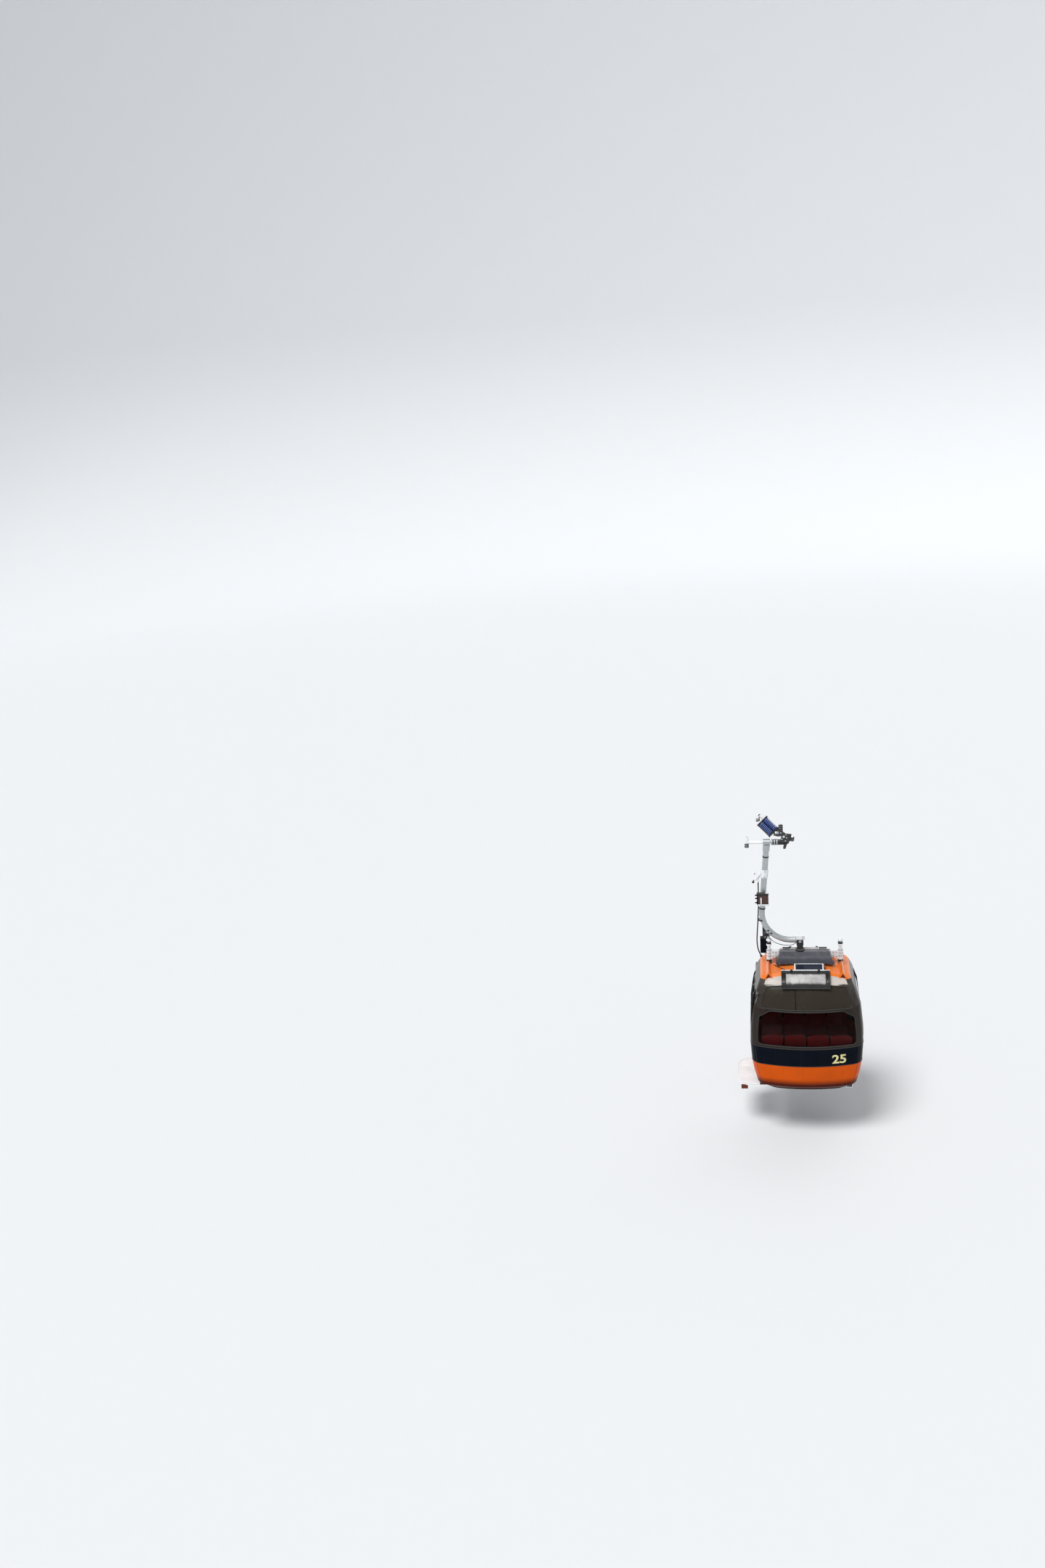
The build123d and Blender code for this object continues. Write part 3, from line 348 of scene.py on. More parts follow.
def add_block(bm, middle, size, up=Vector((0, 0, 1)), bevel=0.002):
    """A block with its edges eased, turned so that its height lies along a direction."""
    side = Vector((0, 1, 0)).cross(up).normalized()
    turn = Matrix((side, up.cross(side), up)).transposed().to_4x4()
    place = Matrix.Translation(middle) @ turn @ Matrix.Diagonal((*size, 1))
    made = bmesh.ops.create_cube(bm, size=1, matrix=place)["verts"]
    edges = list({edge for vert in made for edge in vert.link_edges})
    bmesh.ops.bevel(bm, geom=edges, offset=bevel, offset_type="OFFSET", segments=2, profile=0.5,
                    affect="EDGES", material=-1)


def add_box(bm, low, high, bevel):
    """A block between two corners."""
    low, high = Vector(low), Vector(high)
    add_block(bm, (low + high) / 2, high - low, bevel=bevel)


def add_plate(bm, corners, depth):
    """A flat outline drawn out into a plate."""
    verts, edges = add_line(bm, corners, closed=True)
    face = bmesh.ops.contextual_create(bm, geom=edges)["faces"]
    made = bmesh.ops.extrude_face_region(bm, geom=face, use_keep_orig=True)["geom"]
    bmesh.ops.translate(bm, vec=depth, verts=moved_verts(made))


def add_bolt(bm, seat, aim, radius):
    """A hexagon head on a round washer, standing on its seat."""
    seat, aim = Vector(seat), Vector(aim).normalized()
    washer, head, crown = radius * 0.22, radius * 0.90, radius
    overlap = radius * 0.02
    add_rod(bm, seat - aim * SUNK, seat + aim * washer, radius * 1.35, 18)
    add_rod(bm, seat + aim * (washer - overlap), seat + aim * head, radius, 6)
    add_rod(bm, seat + aim * (head - overlap), seat + aim * crown, radius * 0.78, 12, radius * 0.6)


def add_ring(bm, start, end, radius, bore, sides=28):
    """A flat closed ring between two points: a small section spun round its axis."""
    start, end = Vector(start), Vector(end)
    axis = (end - start).normalized()
    side = axis.orthogonal().normalized()
    corners = [start + side * bore, start + side * radius, end + side * radius, end + side * bore]
    verts, edges = add_line(bm, corners, closed=True)
    bmesh.ops.spin(bm, geom=verts + edges, cent=start, axis=axis, angle=math.tau, steps=sides, use_merge=True)


def add_bead(bm, points, radius, closed=True, sides=8):
    """A round bead along a line of points: circles placed on it and bridged into one tube."""
    count = len(points)
    loops = []
    up = None
    for k, here in enumerate(points):
        before = points[k - 1] if closed or k else here
        after = points[(k + 1) % count] if closed or k < count - 1 else here
        aim = (after - before).normalized()
        if up is None:
            up = Vector((0, 0, 1)) if abs(aim.z) < 0.9 else Vector((1, 0, 0))
        side = aim.cross(up).normalized()
        up = side.cross(aim).normalized()
        place = Matrix.Translation(here) @ Matrix((side, up, aim)).transposed().to_4x4()
        circle = bmesh.ops.create_circle(bm, segments=sides, radius=radius, matrix=place)["verts"]
        near = {edge for vert in circle for edge in vert.link_edges}
        loops.append([edge for edge in near if all(vert in circle for vert in edge.verts)])
        if k:
            bmesh.ops.bridge_loops(bm, edges=loops[-2] + loops[-1])
    if closed:
        bmesh.ops.bridge_loops(bm, edges=loops[-1] + loops[0])
    else:
        bmesh.ops.holes_fill(bm, edges=loops[0], sides=0)
        bmesh.ops.holes_fill(bm, edges=loops[-1], sides=0)


# Shader groups, each built once

def add_node(tree, kind, inputs=(), **values):
    """A shader node with its values set and its sockets filled or linked."""
    made = tree.nodes.new(kind)
    for name, value in values.items():
        setattr(made, name, value)
    for socket, value in dict(inputs).items():
        if isinstance(value, bpy.types.NodeSocket):
            tree.links.new(value, made.inputs[socket])
        else:
            made.inputs[socket].default_value = value
    return made


def new_group(name, inputs, outputs):
    """An empty shader group with number sockets, and the sockets of its two end nodes."""
    tree = bpy.data.node_groups.new(name, "ShaderNodeTree")
    for label, value in inputs.items():
        socket = tree.interface.new_socket(label, in_out="INPUT", socket_type="NodeSocketFloat")
        socket.default_value = value
    for label in outputs:
        tree.interface.new_socket(label, in_out="OUTPUT", socket_type="NodeSocketFloat")
    return tree, tree.nodes.new("NodeGroupInput").outputs, tree.nodes.new("NodeGroupOutput").inputs


def object_place(tree):
    """The point's place on its object."""
    return add_node(tree, "ShaderNodeTexCoord").outputs["Object"]


def part_of(tree, vector, axis):
    """One number of a vector."""
    return add_node(tree, "ShaderNodeSeparateXYZ", {0: vector}).outputs[axis]


def drawn_out(tree, place, scale):
    """The place with a pattern stretched along some axes."""
    return add_node(tree, "ShaderNodeMapping", {"Vector": place, "Scale": scale}).outputs[0]


def noise(tree, place, scale, detail=2.0, rough=0.5):
    """Fractal noise."""
    return add_node(tree, "ShaderNodeTexNoise", {"Vector": place, "Scale": scale, "Detail": detail,
                                                 "Roughness": rough}).outputs


def ramp(tree, value, low, high, start=0.0, end=1.0):
    """Maps low..high to start..end, clamped."""
    return add_node(tree, "ShaderNodeMapRange", {0: value, 1: low, 2: high, 3: start, 4: end},
                    clamp=True).outputs[0]


def sum_up(tree, operation, a, b=0.0, clamp=False):
    """One step of arithmetic."""
    return add_node(tree, "ShaderNodeMath", {0: a, 1: b}, operation=operation, use_clamp=clamp).outputs[0]


def product(tree, first, *others):
    """Masks multiplied together."""
    for other in others:
        first = sum_up(tree, "MULTIPLY", first, other, clamp=True)
    return first


def highest(tree, first, *others):
    """The highest of some masks."""
    for other in others:
        first = sum_up(tree, "MAXIMUM", first, other, clamp=True)
    return first


def make_streaks():
    """Rain streaks: noise drawn out down the surface."""
    tree, given, out = new_group("Rain streaks", {"Scale": 14.0, "Amount": 0.5}, ["Mask"])
    place = object_place(tree)
    fine = noise(tree, drawn_out(tree, place, (1.0, 1.0, 0.09)), given["Scale"], detail=6.0, rough=0.62)[0]
    broad = noise(tree, place, 2.3, detail=3.0)[0]
    mask = product(tree, ramp(tree, fine, 0.52, 0.80), ramp(tree, broad, 0.35, 0.65), given["Amount"])
    tree.links.new(mask, out["Mask"])
    return tree


def make_dust():
    """Settled dust: what faces up catches it, in uneven patches."""
    tree, given, out = new_group("Settled dust", {"Start": 0.35, "Full": 0.95, "Scale": 9.0, "Amount": 0.5},
                                 ["Mask"])
    coords = add_node(tree, "ShaderNodeTexCoord").outputs
    flat = ramp(tree, part_of(tree, coords["Normal"], "Z"), given["Start"], given["Full"])
    patch = noise(tree, coords["Object"], given["Scale"], detail=7.0, rough=0.65)[0]
    tree.links.new(product(tree, flat, ramp(tree, patch, 0.22, 0.62), given["Amount"]), out["Mask"])
    return tree


def make_mottle():
    """Uneven colour and a fine orange-peel height."""
    tree, given, out = new_group("Paint mottle", {"Scale": 3.0, "Grain": 260.0}, ["Shade", "Height"])
    place = object_place(tree)
    broad = noise(tree, place, given["Scale"], detail=5.0)[0]
    tree.links.new(ramp(tree, broad, 0.3, 0.7), out["Shade"])
    tree.links.new(noise(tree, place, given["Grain"])[0], out["Height"])
    return tree


def make_chips():
    """Chipped and scuffed spots."""
    tree, given, out = new_group("Chips", {"Scale": 40.0, "Amount": 0.4}, ["Mask"])
    place = object_place(tree)
    spots = noise(tree, place, given["Scale"], detail=9.0, rough=0.72)[0]
    zones = noise(tree, place, 5.0)[0]
    mask = product(tree, ramp(tree, spots, 0.60, 0.66), ramp(tree, zones, 0.45, 0.60), given["Amount"])
    tree.links.new(mask, out["Mask"])
    return tree


def make_spangle():
    """The crystal flakes of a zinc coat."""
    tree, given, out = new_group("Zinc spangle", {"Scale": 55.0}, ["Flake", "Blotch"])
    place = object_place(tree)
    bent = noise(tree, place, 20.0)["Color"]
    warped = add_node(tree, "ShaderNodeMix", {0: 0.06, 4: place, 5: bent}, data_type="VECTOR").outputs[1]
    flakes = add_node(tree, "ShaderNodeTexVoronoi", {"Vector": warped, "Scale": given["Scale"]})
    shade = add_node(tree, "ShaderNodeSeparateColor", {0: flakes.outputs["Color"]}).outputs[0]
    broad = noise(tree, place, 4.0, detail=6.0, rough=0.6)[0]
    tree.links.new(shade, out["Flake"])
    tree.links.new(ramp(tree, broad, 0.32, 0.68), out["Blotch"])
    return tree


def make_lay():
    """Fine turning or rolling marks."""
    tree, given, out = new_group("Turning marks", {"Scale": 300.0}, ["Height"])
    lines = noise(tree, drawn_out(tree, object_place(tree), (1.0, 0.05, 0.05)), given["Scale"], detail=3.0)[0]
    tree.links.new(lines, out["Height"])
    return tree


def make_height():
    """A mask that comes in between two heights, with an uneven edge."""
    tree, given, out = new_group("Height band", {"From": 0.0, "To": 1.0, "Unevenness": 0.03}, ["Mask"])
    place = object_place(tree)
    waver = noise(tree, drawn_out(tree, place, (1.0, 1.0, 0.3)), 9.0, detail=5.0)[0]
    swing = sum_up(tree, "MULTIPLY", sum_up(tree, "SUBTRACT", waver, 0.5), given["Unevenness"])
    moved = sum_up(tree, "ADD", part_of(tree, place, "Z"), swing)
    tree.links.new(ramp(tree, moved, given["From"], given["To"]), out["Mask"])
    return tree


MAKERS = {"height": make_height, "streaks": make_streaks, "dust": make_dust, "mottle": make_mottle,
          "chips": make_chips, "spangle": make_spangle, "lay": make_lay}
GROUPS = {}


def effect(tree, name, **values):
    """One of the shared groups, placed in a material with its own values."""
    if name not in GROUPS:
        GROUPS[name] = MAKERS[name]()
    placed = add_node(tree, "ShaderNodeGroup", node_tree=GROUPS[name])
    for socket, value in values.items():
        placed.inputs[socket].default_value = value
    return placed.outputs


def height_mask(tree, start, full, uneven):
    """A mask that comes in between two heights above the keel."""
    return effect(tree, "height", From=CABIN.z + start, To=CABIN.z + full, Unevenness=uneven)["Mask"]


def blend_colour(tree, mask, under, over):
    """One colour over another where the mask is 1."""
    mix = tree.nodes.new("ShaderNodeMix")
    mix.data_type = "RGBA"
    tree.links.new(mask, mix.inputs[0])
    for socket, value in ((6, under), (7, over)):
        if isinstance(value, bpy.types.NodeSocket):
            tree.links.new(value, mix.inputs[socket])
        else:
            mix.inputs[socket].default_value = (*value[:3], 1.0)
    return mix.outputs[2]


def shifted(colour, factor):
    """A colour made lighter or darker."""
    return tuple(min(1.0, part * factor) for part in colour[:3])


def level_mix(tree, mask, under, over):
    """A number that goes from under to over with the mask."""
    return ramp(tree, mask, 0.0, 1.0, under, over)


def new_finish(name, **plain):
    """A material with one Principled shader whose plain sockets are set."""
    finish = bpy.data.materials.new(name)
    finish.use_nodes = True
    shader = finish.node_tree.nodes["Principled BSDF"]
    for socket, value in plain.items():
        shader.inputs[socket.replace("_", " ")].default_value = value
    return finish, finish.node_tree, shader


def drive(tree, shader, colour, rough, height=None, bump=0.0):
    """Links a finish's colour, roughness and fine height into its shader."""
    tree.links.new(colour, shader.inputs["Base Color"])
    tree.links.new(rough, shader.inputs["Roughness"])
    if height is not None:
        relief = add_node(tree, "ShaderNodeBump", {"Height": height, "Strength": bump, "Distance": 0.001})
        tree.links.new(relief.outputs[0], shader.inputs["Normal"])


# Finishes

DUST = (0.50, 0.47, 0.42)
GRIME = (0.055, 0.045, 0.036)
RUST = (0.16, 0.055, 0.022)
GREASE = (0.13, 0.085, 0.055)
BLOOM = (0.20, 0.19, 0.17)

# Heights over which a tone comes in, above the keel, and how uneven its edge is
# SHADE_FOOT is painted shade: the orange skirts darken towards the keel, where the shell turns under.
SHADE_FOOT = (0.31, 0.19, 0.02)
LEAF_BELT = (0.931, 0.929, 0.0)
# The pale band is a painted highlight of the sky along the top of the end surrounds, with some dust.
PAINTED_HIGHLIGHT_BAND = (1.992, 2.012, 0.05)
HOOD_STAIN_LOW = (2.045, 2.085, 0.05)
HOOD_STAIN_HIGH = (2.186, 2.172, 0.02)
HOOD_STAIN_HALF = (0.352, 0.340)


def moulding(name, colour, dust, streaks, coat=0.10, rough=0.28, shine=0.16, low=None, foot=SHADE_FOOT, highlight_band=None):
    """A glossy moulded panel with rain streaks and dust on what faces up, a second tone low down (painted
    shade at the skirts' foot, the belt colour on the door leaves) and a pale band of painted highlight with
    some dust.
    """
    finish, tree, shader = new_finish(name, Coat_Weight=coat, Coat_Roughness=0.06, IOR=1.5,
                                      Specular_IOR_Level=shine)
    mottle = effect(tree, "mottle", Scale=2.2, Grain=420.0)
    streak = effect(tree, "streaks", Scale=13.0, Amount=streaks)["Mask"]
    settled = effect(tree, "dust", Start=0.30, Full=0.92, Scale=11.0, Amount=dust)["Mask"]
    base = blend_colour(tree, mottle["Shade"], shifted(colour, 0.90), shifted(colour, 1.06))
    # A second tone low down: painted shade on the orange skirts, the belt's own colour on the door leaves.
    if low:
        base = blend_colour(tree, height_mask(tree, *foot), base, low)
    base = blend_colour(tree, streak, base, GRIME)
    base = blend_colour(tree, settled, base, DUST)
    worn = highest(tree, streak, settled)
    # Painted highlight: a pale band at a fixed height stands for the sky's reflection, with some dust.
    if highlight_band:
        pale = height_mask(tree, *PAINTED_HIGHLIGHT_BAND)
        base = blend_colour(tree, pale, base, blend_colour(tree, mottle["Shade"], shifted(highlight_band, 0.8), highlight_band))
        worn = highest(tree, worn, pale)
    drive(tree, shader, base, level_mix(tree, worn, rough, 0.70), mottle["Height"], 0.05)
    tree.links.new(level_mix(tree, settled, coat, 0.0), shader.inputs["Coat Weight"])
    return finish


def coated_metal(name, colour, chips, streaks, rough=0.42, dust=0.35):
    """Paint or powder coat on metal, chipped down to rust and streaked."""
    finish, tree, shader = new_finish(name)
    mottle = effect(tree, "mottle", Scale=6.0, Grain=600.0)
    streak = effect(tree, "streaks", Scale=26.0, Amount=streaks)["Mask"]
    chip = effect(tree, "chips", Scale=60.0, Amount=chips)["Mask"]
    settled = effect(tree, "dust", Start=0.5, Full=1.0, Scale=18.0, Amount=dust)["Mask"]
    base = blend_colour(tree, mottle["Shade"], shifted(colour, 0.88), shifted(colour, 1.05))
    for mask, over in ((streak, GRIME), (chip, RUST), (settled, DUST)):
        base = blend_colour(tree, mask, base, over)
    worn = highest(tree, streak, chip, settled)
    drive(tree, shader, base, level_mix(tree, worn, rough, 0.82), mottle["Height"], 0.10)
    return finish


def zinc(name):
    """Dull hot-dip zinc with its flakes and blotches."""
    finish, tree, shader = new_finish(name, Metallic=0.75)
    flakes = effect(tree, "spangle", Scale=60.0)
    streak = effect(tree, "streaks", Scale=22.0, Amount=0.35)["Mask"]
    base = blend_colour(tree, flakes["Flake"], (0.36, 0.39, 0.40), (0.56, 0.59, 0.60))
    base = blend_colour(tree, flakes["Blotch"], base, (0.50, 0.52, 0.53))
    base = blend_colour(tree, streak, base, (0.20, 0.17, 0.14))
    drive(tree, shader, base, level_mix(tree, flakes["Flake"], 0.40, 0.58), flakes["Flake"], 0.06)
    return finish


def turned_steel(name, colour, rough):
    """Bare worked steel with fine marks and a little grease."""
    finish, tree, shader = new_finish(name, Metallic=1.0)
    lay = effect(tree, "lay", Scale=420.0)["Height"]
    smear = effect(tree, "chips", Scale=30.0, Amount=0.45)["Mask"]
    base = blend_colour(tree, lay, shifted(colour, 0.80), colour)
    base = blend_colour(tree, smear, base, GREASE)
    drive(tree, shader, base, level_mix(tree, lay, rough, rough + 0.16), lay, 0.12)
    return finish


def rubber(name, colour, dust):
    """Matt rubber with a bloom of dust."""
    finish, tree, shader = new_finish(name)
    mottle = effect(tree, "mottle", Scale=12.0, Grain=900.0)
    settled = effect(tree, "dust", Start=0.2, Full=1.0, Scale=30.0, Amount=dust)["Mask"]
    base = blend_colour(tree, mottle["Shade"], shifted(colour, 0.7), shifted(colour, 1.5))
    base = blend_colour(tree, settled, base, BLOOM)
    drive(tree, shader, base, level_mix(tree, mottle["Shade"], 0.62, 0.80), mottle["Height"], 0.20)
    return finish


def pane(name, tint, haze, clear=1.0):
    """Tinted glazing with a little haze and dried rain."""
    finish, tree, shader = new_finish(name, Transmission_Weight=clear, IOR=1.12)
    streak = effect(tree, "streaks", Scale=18.0, Amount=0.30)["Mask"]
    mottle = effect(tree, "mottle", Scale=2.5, Grain=30.0)
    base = blend_colour(tree, mottle["Shade"], shifted(tint, 0.92), shifted(tint, 1.06))
    base = blend_colour(tree, streak, base, shifted(tint, 0.72))
    drive(tree, shader, base, level_mix(tree, streak, haze, 0.30))
    return finish


def stained_hood(name):
    """Black glossy moulding whose crown is pale and stained, between its ribbed ends."""
    finish, tree, shader = new_finish(name, Coat_Weight=0.3, Coat_Roughness=0.10, Specular_IOR_Level=0.35)
    mottle = effect(tree, "mottle", Scale=5.0, Grain=300.0)
    stain = effect(tree, "chips", Scale=7.5, Amount=0.8)["Mask"]
    streak = effect(tree, "streaks", Scale=9.0, Amount=0.8)["Mask"]
    from_middle = sum_up(tree, "SUBTRACT", part_of(tree, object_place(tree), "X"), CABIN.x)
    inside = ramp(tree, sum_up(tree, "ABSOLUTE", from_middle), *HOOD_STAIN_HALF)
    pale = product(tree, inside, height_mask(tree, *HOOD_STAIN_LOW), height_mask(tree, *HOOD_STAIN_HIGH))
    crown = blend_colour(tree, mottle["Shade"], (0.36, 0.34, 0.34), (0.62, 0.59, 0.58))
    crown = blend_colour(tree, stain, crown, (0.10, 0.095, 0.095))
    crown = blend_colour(tree, streak, crown, (0.09, 0.085, 0.085))
    black = blend_colour(tree, mottle["Shade"], (0.012, 0.012, 0.013), (0.030, 0.028, 0.028))
    drive(tree, shader, blend_colour(tree, pale, black, crown), level_mix(tree, pale, 0.28, 0.58),
          mottle["Height"], 0.12)
    return finish


FINISHES = {}

# Nodes whose finish differs from that of their slot in the record
OWN_FINISH = {
    "footboard": "board_white",
    "guide_rail": "board_white",
    "carrying_shaft": "board_white",
    "board_arms": "arm_red",
    # The floor pan's finish is painted shade: dark for the shade under the cabin's keel.
    "floor_pan": "underside_shade_pan",
    "roof_panel": "sunlit_roof_orange",
    "post_feet": "sunlit_roof_orange",
    "roof_rail": "pale_rail",
    "hatch_glass": "hatch_pane",
    "lower_panes": "lower_glass",
    "end_window_frames": "end_surround",
    "front_door_frame": "leaf_surround",
    "back_door_frame": "leaf_surround",
    "door_rails": "black_cast",
    "pack_frame": "black_cast",
    "tube_straps": "black_cast",
}


def build_finishes(colours):
    """Every finish, by its slot in the record or by its own name."""
    FINISHES.update({
        "galvanised": zinc("Galvanised steel"),
        "white_cast": coated_metal("White powder coat", colours.white, 0.14, 0.25, rough=0.38, dust=0.05),
        "black_cast": coated_metal("Black casting", (0.016, 0.016, 0.018), 0.35, 0.2, rough=0.50),
        "steel": turned_steel("Turned steel", (0.62, 0.62, 0.63), 0.26),
        "spring_blue": coated_metal("Coated spring wire", colours.springs, 0.18, 0.1, rough=0.24),
        "rubber": rubber("Black rubber", (0.016, 0.016, 0.016), 0.25),
        # The dark maroon foot of the orange moulding is painted shade, where the skirt turns under.
        "orange_shell": moulding("Orange moulding", colours.orange, 0.06, 0.35, coat=0.05, shine=0.06,
                                 low=(0.08, 0.010, 0.004)),
        # Painted light: the roof and the post feet get a lighter copy of the orange, for the sun falling on
        # them.
        "sunlit_roof_orange": moulding("Orange roof", colours.roof, 0.10, 0.30, coat=0.20, shine=0.25),
        "black_shell": moulding("Black moulding", colours.belt, 0.03, 0.12, coat=0.0, rough=0.20, shine=0.05),
        "frame_black": moulding("Side surround", colours.surround, 0.25, 0.35, coat=0.0, rough=0.20,
                                shine=0.12),
        "leaf_surround": moulding("Leaf surround", colours.surround, 0.25, 0.35, coat=0.0, rough=0.20,
                                  shine=0.12, low=tuple(colours.belt), foot=LEAF_BELT),
        # The end surrounds carry a pale band of painted highlight along their top.
        "end_surround": moulding("End surround", colours.surround, 0.16, 0.50, coat=0.15, rough=0.18,
                                 shine=0.14, highlight_band=(0.66, 0.60, 0.54)),
        # Painted shade: the dark red of the ridges' shadowed open ends; the hatch hinge uses it too.
        "ridge_end": moulding("Ridge end shade", (0.16, 0.012, 0.006), 0.05, 0.2),
        "arm_red": moulding("Footboard arms", (0.13, 0.028, 0.012), 0.05, 0.3),
        # Painted shade: the floor pan's underside is dark maroon for the shade under the keel.
        "underside_shade_pan": moulding("Floor pan", (0.030, 0.008, 0.006), 0.05, 0.2, coat=0.0, rough=0.8, shine=0.0),
        "pale_rail": coated_metal("Pale roof rail", (0.50, 0.58, 0.60), 0.05, 0.15, rough=0.35, dust=0.1),
        "board_white": coated_metal("White footboard", (0.95, 0.95, 0.95), 0.0, 0.03, rough=0.40, dust=0.0),
        "hood_grey": stained_hood("Vent hood moulding"),
        "cover_grey": moulding("Beam cover", (0.050, 0.054, 0.072), 0.12, 0.20, coat=0.4, rough=0.16,
                               shine=0.3),
        "smoked_glass": pane("Smoked pane", (0.064, 0.053, 0.040), 0.12, clear=0.40),
        "dark_glass": pane("Dark pane", (0.27, 0.27, 0.28), 0.02),
        "lower_glass": pane("Lower pane", (0.38, 0.37, 0.38), 0.02),
        "hatch_pane": pane("Hatch pane", (0.030, 0.038, 0.062), 0.08, clear=0.40),
        "floor_alu": turned_steel("Floor tray", (0.55, 0.56, 0.57), 0.40),
        "seat_red": coated_metal("Red moulding", colours.seats, 0.05, 0.05, rough=0.36),
        "lid": moulding("Box lid", (0.060, 0.022, 0.016), 0.10, 0.35, coat=0.6, rough=0.16),
        "bellows": rubber("Grey bellows", (0.16, 0.16, 0.165), 0.40),
        "number": coated_metal("Number film", colours.number, 0.10, 0.10, rough=0.35),
        "cable_black": rubber("Cable sheath", (0.012, 0.012, 0.012), 0.15),
    })


def smooth_node(node):
    """Welds a CAD node's loose triangles by a modifier and keeps its hard edges."""
    weld = node.modifiers.new("Weld", "WELD")
    weld.merge_threshold = 0.00002
    split = node.modifiers.new("Hard edges", "EDGE_SPLIT")
    split.split_angle = math.radians(32.0)
    split.use_edge_sharp = False
    node.data.shade_smooth()


class CABIN_OT_finishes(bpy.types.Operator):
    """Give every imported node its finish"""
    bl_idname = "cabin.finishes"
    bl_label = "Finishes"

    def execute(self, context):
        build_finishes(context.scene.cabin_colours)
        for part in frame["record"]["subparts"]:
            node = frame["nodes"][part["node"]]
            node.data.materials.clear()
            node.data.materials.append(FINISHES[OWN_FINISH.get(part["node"], part["material_slot"])])
            smooth_node(node)
        return {"FINISHED"}


# Seals and beads

LEAF_EDGE_IN, LEAF_EDGE_R = 0.003, 0.0045
END_STEP, SIDE_STEP = 0.06, 0.08    # about the longest step of a seal along an end and along a side


def end_window(low, high, crown=None, slope=None):
    """An end window's outline in x and z, with its top corners cut back by slope."""
    shoulder = high - slope[1] if slope else high
    heights = [low] + [row[0] for row in SECTIONS if low < row[0] < shoulder] + [shoulder]
    right = [(level(z)[0] - END_WINDOW_IN, z) for z in heights]
    if slope:
        right.append((right[-1][0] - slope[0], high))
    top = [(0.0, crown)] if crown else []
    return [(-x, z) for x, z in right] + top + [(x, z) for x, z in reversed(right)]


LOWER_WINDOW = rounded(end_window(WINDOW_LOW, MID_RAIL - MID_RAIL_HALF, slope=LOWER_SLOPE), LOWER_CORNER)
UPPER_WINDOW = rounded(end_window(MID_RAIL + MID_RAIL_HALF, UPPER_HIGH, UPPER_CROWN), UPPER_CORNER)
FAR_WINDOW = rounded([(-0.640, WINDOW_LOW), (0.640, WINDOW_LOW), (0.560, MID_RAIL), (0.430, 1.850),
                      (-0.430, 1.850), (-0.560, MID_RAIL)], FAR_CORNER)


def door_side_window(way):
    """The fixed pane beside a door leaf, in y and z."""
    corners = [(DOOR_PANE_NEAR, WINDOW_LOW), *DOOR_PANE_FAR, (DOOR_PANE_NEAR, DOOR_PANE_FAR[-1][1])]
    return rounded([(y * way, z) for y, z in corners], DOOR_PANE_CORNER)


class CABIN_OT_window_seals(bpy.types.Operator):
    """Rubber beads round the fixed panes"""
    bl_idname = "cabin.window_seals"
    bl_label = "Window seals"

    def execute(self, context):
        radius = context.scene.cabin_sizes.seal
        for name, way in (("front", FRONT), ("back", BACK)):
            bm = bmesh.new()
            for outline in (LOWER_WINDOW, UPPER_WINDOW):
                add_bead(bm, [end_point(x, z, -SUNK, way) for x, z in spread(outline, END_STEP)], radius)
            finish_mesh(bm, f"{name}_window_seals", "rubber")
        bm = bmesh.new()
        add_bead(bm, [side_point(y, z, -SUNK, RIGHT) for y, z in spread(FAR_WINDOW, SIDE_STEP)], radius)
        for way in (FRONT, BACK):
            outline = spread(door_side_window(way), SIDE_STEP)
            add_bead(bm, [side_point(y, z, -RECESS_DEPTH - SUNK) for y, z in outline], radius * 0.8)
        finish_mesh(bm, "side_window_seals", "rubber")
        return {"FINISHED"}


def from_recess(line, z):
    """A line round the skin, made to start at the edge of the door recess."""
    reach = [abs(point.y - CABIN.y) for point in line]
    if reach[0] > RECESS_REACH:
        edge = math.copysign(RECESS_REACH, line[0].y - CABIN.y)
        return [side_point(edge, z, -SUNK)] + line
    first = next(k for k, y in enumerate(reach) if y > RECESS_REACH)
    share = (RECESS_REACH - reach[first - 1]) / (reach[first] - reach[first - 1])
    return [line[first - 1].lerp(line[first], share)] + line[first:]


class CABIN_OT_panel_beads(bpy.types.Operator):
    """Beads where the moulded panels meet"""
    bl_idname = "cabin.panel_beads"
    bl_label = "Panel beads"

    def execute(self, context):
        radius = context.scene.cabin_sizes.bead
        bm = bmesh.new()
        for z in (BELT_LOW, BELT_HIGH):
            loop = level_loop(z, -SUNK)
            half = len(loop) // 2
            line = from_recess(loop[half:] + loop[:half], z)
            add_bead(bm, from_recess(line[::-1], z), radius, closed=False)
        heights = [END_PANEL_LOW] + [row[0] for row in SECTIONS if END_PANEL_LOW < row[0] <= CANT]
        for way in (FRONT, BACK):
            for side in (LEFT, RIGHT):
                line = [end_point((level(z)[0] - END_PANEL_IN) * side, z, -2 * SUNK, way) for z in heights]
                add_bead(bm, line, radius * 0.7, closed=False)
        finish_mesh(bm, "panel_beads", "rubber")
        return {"FINISHED"}


class CABIN_OT_pane_seam(bpy.types.Operator):
    """Thin joint down the upper panes"""
    bl_idname = "cabin.pane_seam"
    bl_label = "Pane seam"

    def execute(self, context):
        bm = bmesh.new()
        for way in (FRONT, BACK):
            line = [end_point(PANE_SEAM_X * -way, z, -PANE_SEAM_IN, way) for z in PANE_SEAM_Z]
            add_bead(bm, line, PANE_SEAM_R, closed=False)
        finish_mesh(bm, "pane_seams", "black_shell")
        return {"FINISHED"}


